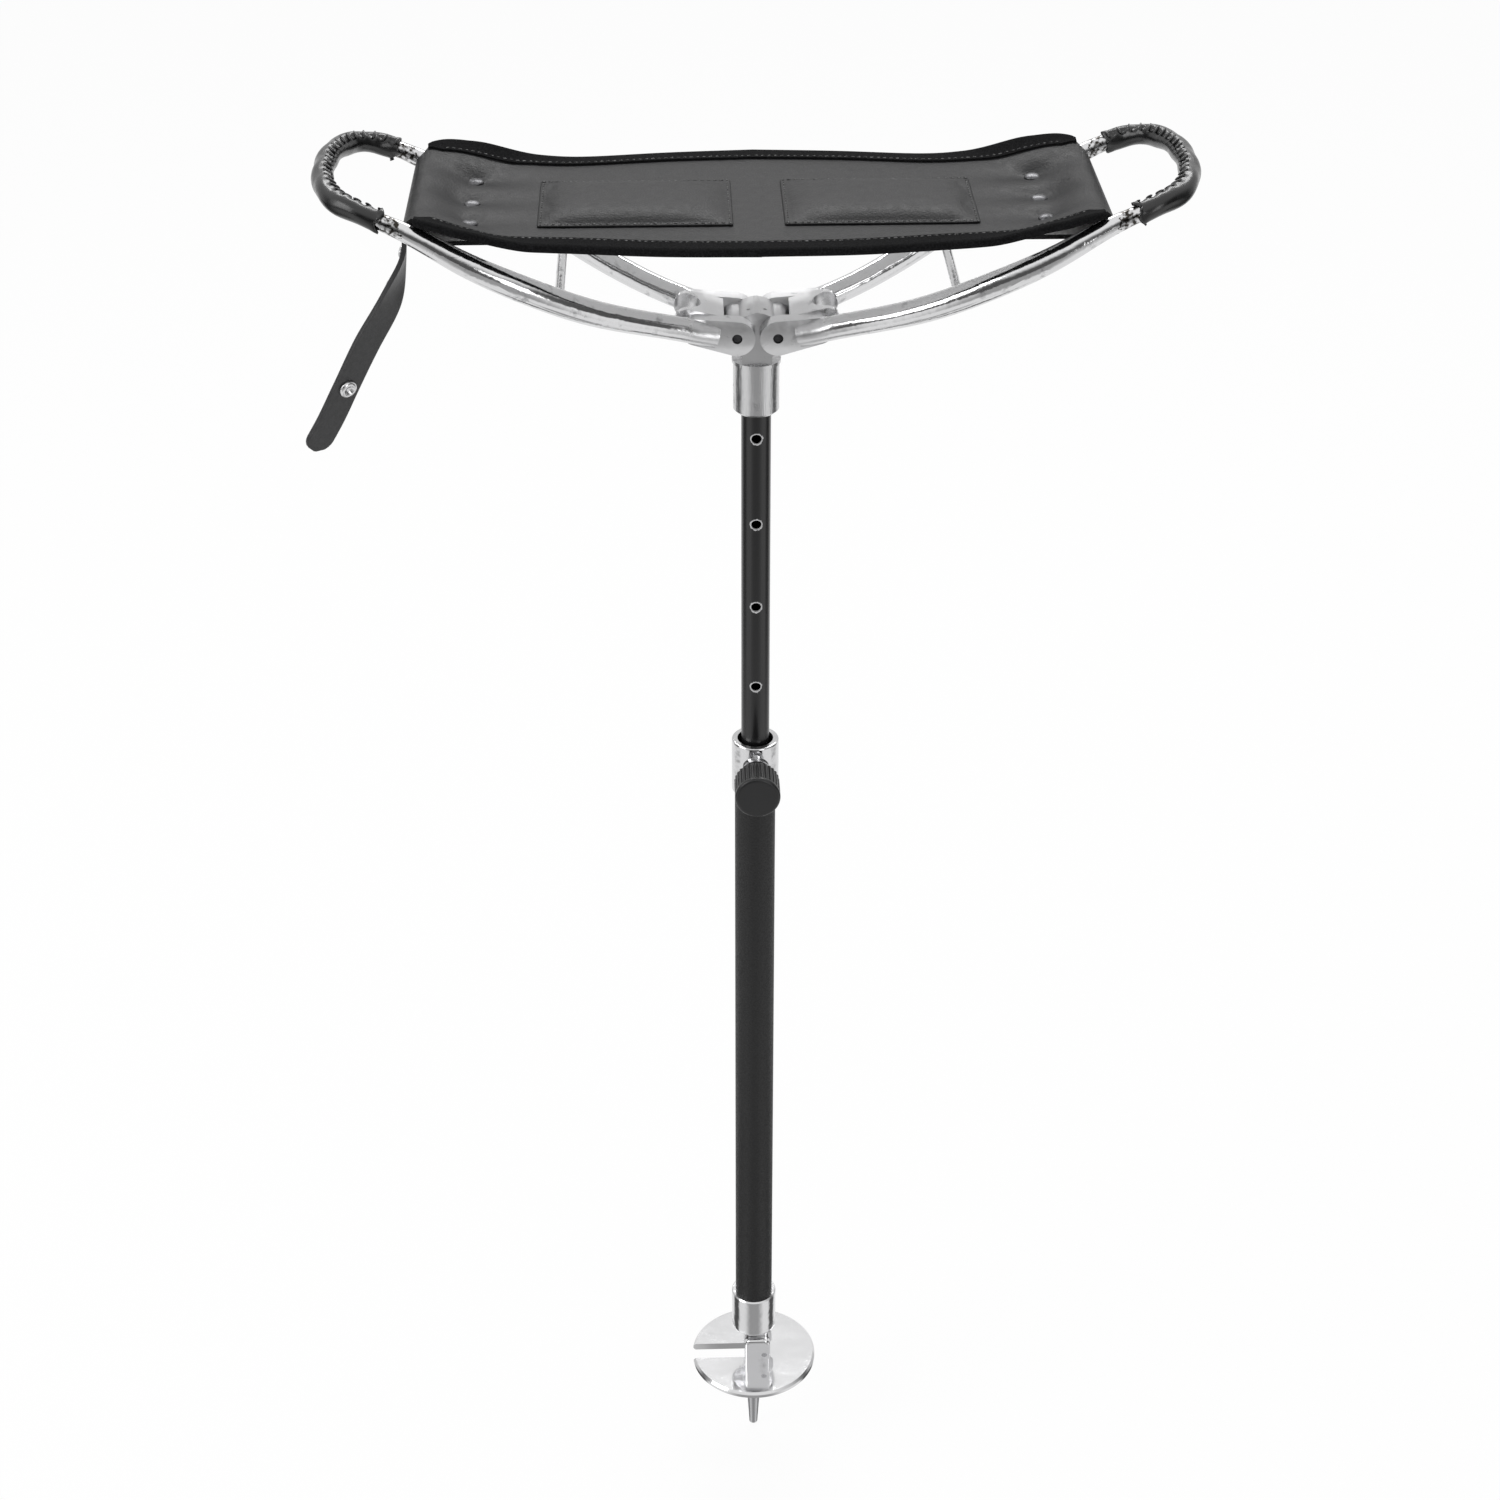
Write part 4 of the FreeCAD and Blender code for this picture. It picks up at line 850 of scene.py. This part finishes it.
for side, hand in ((-1, "left"), (1, "right")):
    mesh = bmesh.new()
    bmesh.ops.create_grid(mesh, x_segments=170, y_segments=40, size=0.5)
    for corner in mesh.verts:
        share = corner.co.x + 0.5
        angle = corner.co.y * 2 * math.pi
        middle, along, inward, lift = on_loop(share)
        from_seam = abs(math.atan2(math.sin(angle - seam_turn), math.cos(angle - seam_turn)))
        pucker = math.exp(-(from_seam / pucker_turn) ** 2)
        radius = grip_radius + 0.0003 * math.sin(share * 37 + angle * 2)
        at_lace = 0.5 + 0.5 * math.cos(2 * math.pi * share * laces)
        radius += pucker_rise * pucker * at_lace - pucker_draw * pucker
        radius -= seam_groove * math.exp(-(from_seam / groove_turn) ** 2)
        ends = min(share, 1 - share)
        if ends < uneven_share:
            radius += 0.0006 * math.sin(angle * 5 + 1) * (1 - ends / uneven_share)
        ragged_end = 0.0
        if ends < ragged_share:
            ragged_end = ragged_out * math.sin(angle * 3 + side) * (1 if share < 0.5 else -1)
        spot = middle + (inward * math.cos(angle) + lift * math.sin(angle)) * radius + along * ragged_end
        corner.co = Vector((side * spot.x, spot.y, spot.z))
    bmesh.ops.remove_doubles(mesh, verts=mesh.verts, dist=merge_within)
    bmesh.ops.recalc_face_normals(mesh, faces=mesh.faces)
    cover = finish_mesh(mesh, hand + "_grip_leather", grip_leather)
    live(cover, "SOLIDIFY", thickness=grip_thick, offset=-1.0, use_rim=True)
    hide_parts(hand + "_grip_cover")
    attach(cover, hand + "_side")
    mesh = bmesh.new()
    for number in range(laces + 1):
        middle, along, inward, lift = on_loop(lace_margin + (1 - 2 * lace_margin) * number / laces)
        across_seam = lift * math.cos(seam_turn) - inward * math.sin(seam_turn)
        across_seam = (across_seam + along * lace_slant).normalized()
        out_of_seam = inward * math.cos(seam_turn) + lift * math.sin(seam_turn)
        spot = middle + out_of_seam * (grip_radius + 0.0002)
        turn = across_seam.to_track_quat("Z", "Y").to_matrix().to_4x4()
        bead = bmesh.ops.create_icosphere(mesh, subdivisions=2, radius=0.5)
        bmesh.ops.scale(mesh, verts=bead["verts"], vec=(lace_thick, lace_thick, lace_long))
        bmesh.ops.transform(mesh, verts=bead["verts"], matrix=Matrix.Translation(spot) @ turn)
    if side < 0:
        bmesh.ops.scale(mesh, verts=mesh.verts, vec=(-1, 1, 1))
    bmesh.ops.recalc_face_normals(mesh, faces=mesh.faces)
    lacing = finish_mesh(mesh, hand + "_grip_lace", grip_leather)
    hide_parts(hand + "_grip_lacing")
    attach(lacing, hand + "_side")


# Retaining strap: a strip of black strap leather looped round the left bar and riveted, with
# a snap that closes on itself round the folded arms. It hangs down and outwards, twisted by
# about 50 degrees, so that its outer face turns to the front.
strap_middle = -0.0395
strap_half = 0.008
strap_thick = 0.0024
strap_inside = 0.00435
strap_tip = 0.94        # the end is rounded from here on
strap_twist = [(0.0, 0.0), (0.10, 0.0), (0.34, 46.0), (0.7, 50.0), (1.0, 52.0)]
strap_route = [(-0.1757, 0.8070), (-0.1772, 0.7960), (-0.1808, 0.7830), (-0.1870, 0.7660),
               (-0.1995, 0.7445), (-0.2120, 0.7205), (-0.2210, 0.7030), (-0.2310, 0.6860)]
strap_reach = [0.0]
for (ax, az), (bx, bz) in zip(strap_route, strap_route[1:]):
    strap_reach.append(strap_reach[-1] + math.hypot(bx - ax, bz - az))
strap_stops = [list(zip(strap_reach, [p[axis] for p in strap_route])) for axis in range(2)]


def on_strap(share):
    """Middle of the strap, its direction downwards, its width's direction and its outer face's."""
    at = share * strap_reach[-1]
    where = []
    for reach in (at - 0.001, at, at + 0.001):
        reach = min(max(reach, 0.0), strap_reach[-1])
        x, z = [eased(reach, stops) for stops in strap_stops]
        where.append(Vector((x, strap_middle, z)))
    down = (where[2] - where[0]).normalized()
    twist = math.radians(eased(share, strap_twist))
    width = Matrix.Rotation(twist, 3, down) @ Vector((0, 1, 0))
    return where[1], down, width, width.cross(down)


strap_leather, strap_shader, place = surface("black_strap_leather", "#1C1C1D", 0.40)
hide = add_node(strap_leather, "ShaderNodeTexNoise", {
    "Vector": place, "Scale": 1000 / 3.0, "Detail": 6.0, "Roughness": 0.7})
pores = add_node(strap_leather, "ShaderNodeBump", {
    "Height": hide.outputs["Fac"], "Strength": 0.35, "Distance": 0.0004})
put_in(strap_leather, pores.outputs["Normal"], strap_shader.inputs["Normal"])
tone = add_node(strap_leather, "ShaderNodeMix", {
    0: hide.outputs["Fac"], 6: linear("#161617"), 7: linear("#3A3A3B")}, data_type="RGBA")
put_in(strap_leather, tone.outputs[2], strap_shader.inputs["Base Color"])

mesh = bmesh.new()
bmesh.ops.create_grid(mesh, x_segments=70, y_segments=12, size=0.5)
for corner in mesh.verts:
    share, across_share = corner.co.x + 0.5, corner.co.y * 2
    rounding = 1.0
    if share > strap_tip:
        rounding = math.sqrt(max(1 - ((share - strap_tip) / (1 - strap_tip)) ** 2, 0.0)) * 0.9 + 0.1
    spot, _, width, _ = on_strap(share)
    corner.co = spot + width * across_share * strap_half * rounding
tail = finish_mesh(mesh, "strap_tail", strap_leather)
live(tail, "SOLIDIFY", thickness=strap_thick, offset=0.0, use_rim=True)
live(tail, "BEVEL", width=0.0004, segments=2, limit_method="ANGLE")
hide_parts("retaining_strap")
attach(tail, "strap")

# The strap's loop goes once round the bar; its inside clears the steel by a third of a millimetre.
loop_radius = strap_inside + strap_thick / 2
mesh = bmesh.new()
bmesh.ops.create_grid(mesh, x_segments=48, y_segments=8, size=0.5)
for corner in mesh.verts:
    angle = corner.co.x * 2 * math.pi
    corner.co = Vector((-sling_bar_out + loop_radius * math.cos(angle),
                        strap_middle + corner.co.y * 2 * strap_half,
                        sling_bar_height + loop_radius * math.sin(angle)))
bmesh.ops.remove_doubles(mesh, verts=mesh.verts, dist=merge_within)
bmesh.ops.recalc_face_normals(mesh, faces=mesh.faces)
collar = finish_mesh(mesh, "strap_loop", strap_leather)
live(collar, "SOLIDIFY", thickness=strap_thick, offset=0.0, use_rim=True)
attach(collar, "strap")

# Snap: nickel plated brass, pressed. A domed cap and its socket near the strap's end close on a
# stud nearer the bar; a small rivet holds the loop.
snap_share = 0.70
stud_share = 0.24
loop_rivet_share = 0.10
nickel, *_ = scuffed("nickel_plated_snap", "#E2E2E3", "#C0C0C2", 0.20, 0.26, 40.0, 12.0, 0.74)


def pressed(name, share, out_way, profile, node):
    """A turned fitting on the strap, spun from (radius, height) points above its face."""
    spot, down, _, face = on_strap(share)
    outward = face * out_way
    mesh = bmesh.new()
    ring = [mesh.verts.new((radius, 0, height)) for radius, height in profile]
    edges = [mesh.edges.new(pair) for pair in zip(ring, ring[1:])]
    bmesh.ops.spin(mesh, geom=ring + edges, cent=(0, 0, 0), axis=(0, 0, 1), angle=2 * math.pi, steps=36,
                   use_merge=True)
    bmesh.ops.remove_doubles(mesh, verts=mesh.verts, dist=merge_within)
    bmesh.ops.recalc_face_normals(mesh, faces=mesh.faces)
    turn = Matrix((down, outward.cross(down), outward)).transposed().to_4x4()
    place = Matrix.Translation(spot + outward * (strap_thick / 2))
    bmesh.ops.transform(mesh, verts=mesh.verts, matrix=place @ turn)
    made = finish_mesh(mesh, name, nickel)
    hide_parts(node)
    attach(made, "strap")


pressed("snap_cap_dome", snap_share, 1, [
    (0.0, 0.0031), (0.0020, 0.0030), (0.0040, 0.0025), (0.0055, 0.0017), (0.0064, 0.0009), (0.0067, 0.0004),
    (0.0065, 0.0), (0.0, -0.0001)], "snap_cap")
pressed("snap_socket_ring", snap_share, -1, [
    (0.0, 0.0006), (0.0022, 0.0006), (0.0026, 0.0021), (0.0034, 0.0023), (0.0046, 0.0016), (0.0050, 0.0005),
    (0.0048, 0.0), (0.0, -0.0001)], "snap_socket")
pressed("snap_stud_post", stud_share, 1, [
    (0.0, 0.0031), (0.0016, 0.0029), (0.0022, 0.0022), (0.0018, 0.0012), (0.0026, 0.0009), (0.0046, 0.0006),
    (0.0050, 0.0), (0.0, -0.0001)], "snap_stud")
pressed("strap_rivet_head", loop_rivet_share, 1, [
    (0.0, 0.0012), (0.0014, 0.0011), (0.0026, 0.0007), (0.0031, 0.0002), (0.0030, 0.0), (0.0, -0.0001)],
    "strap_rivet")
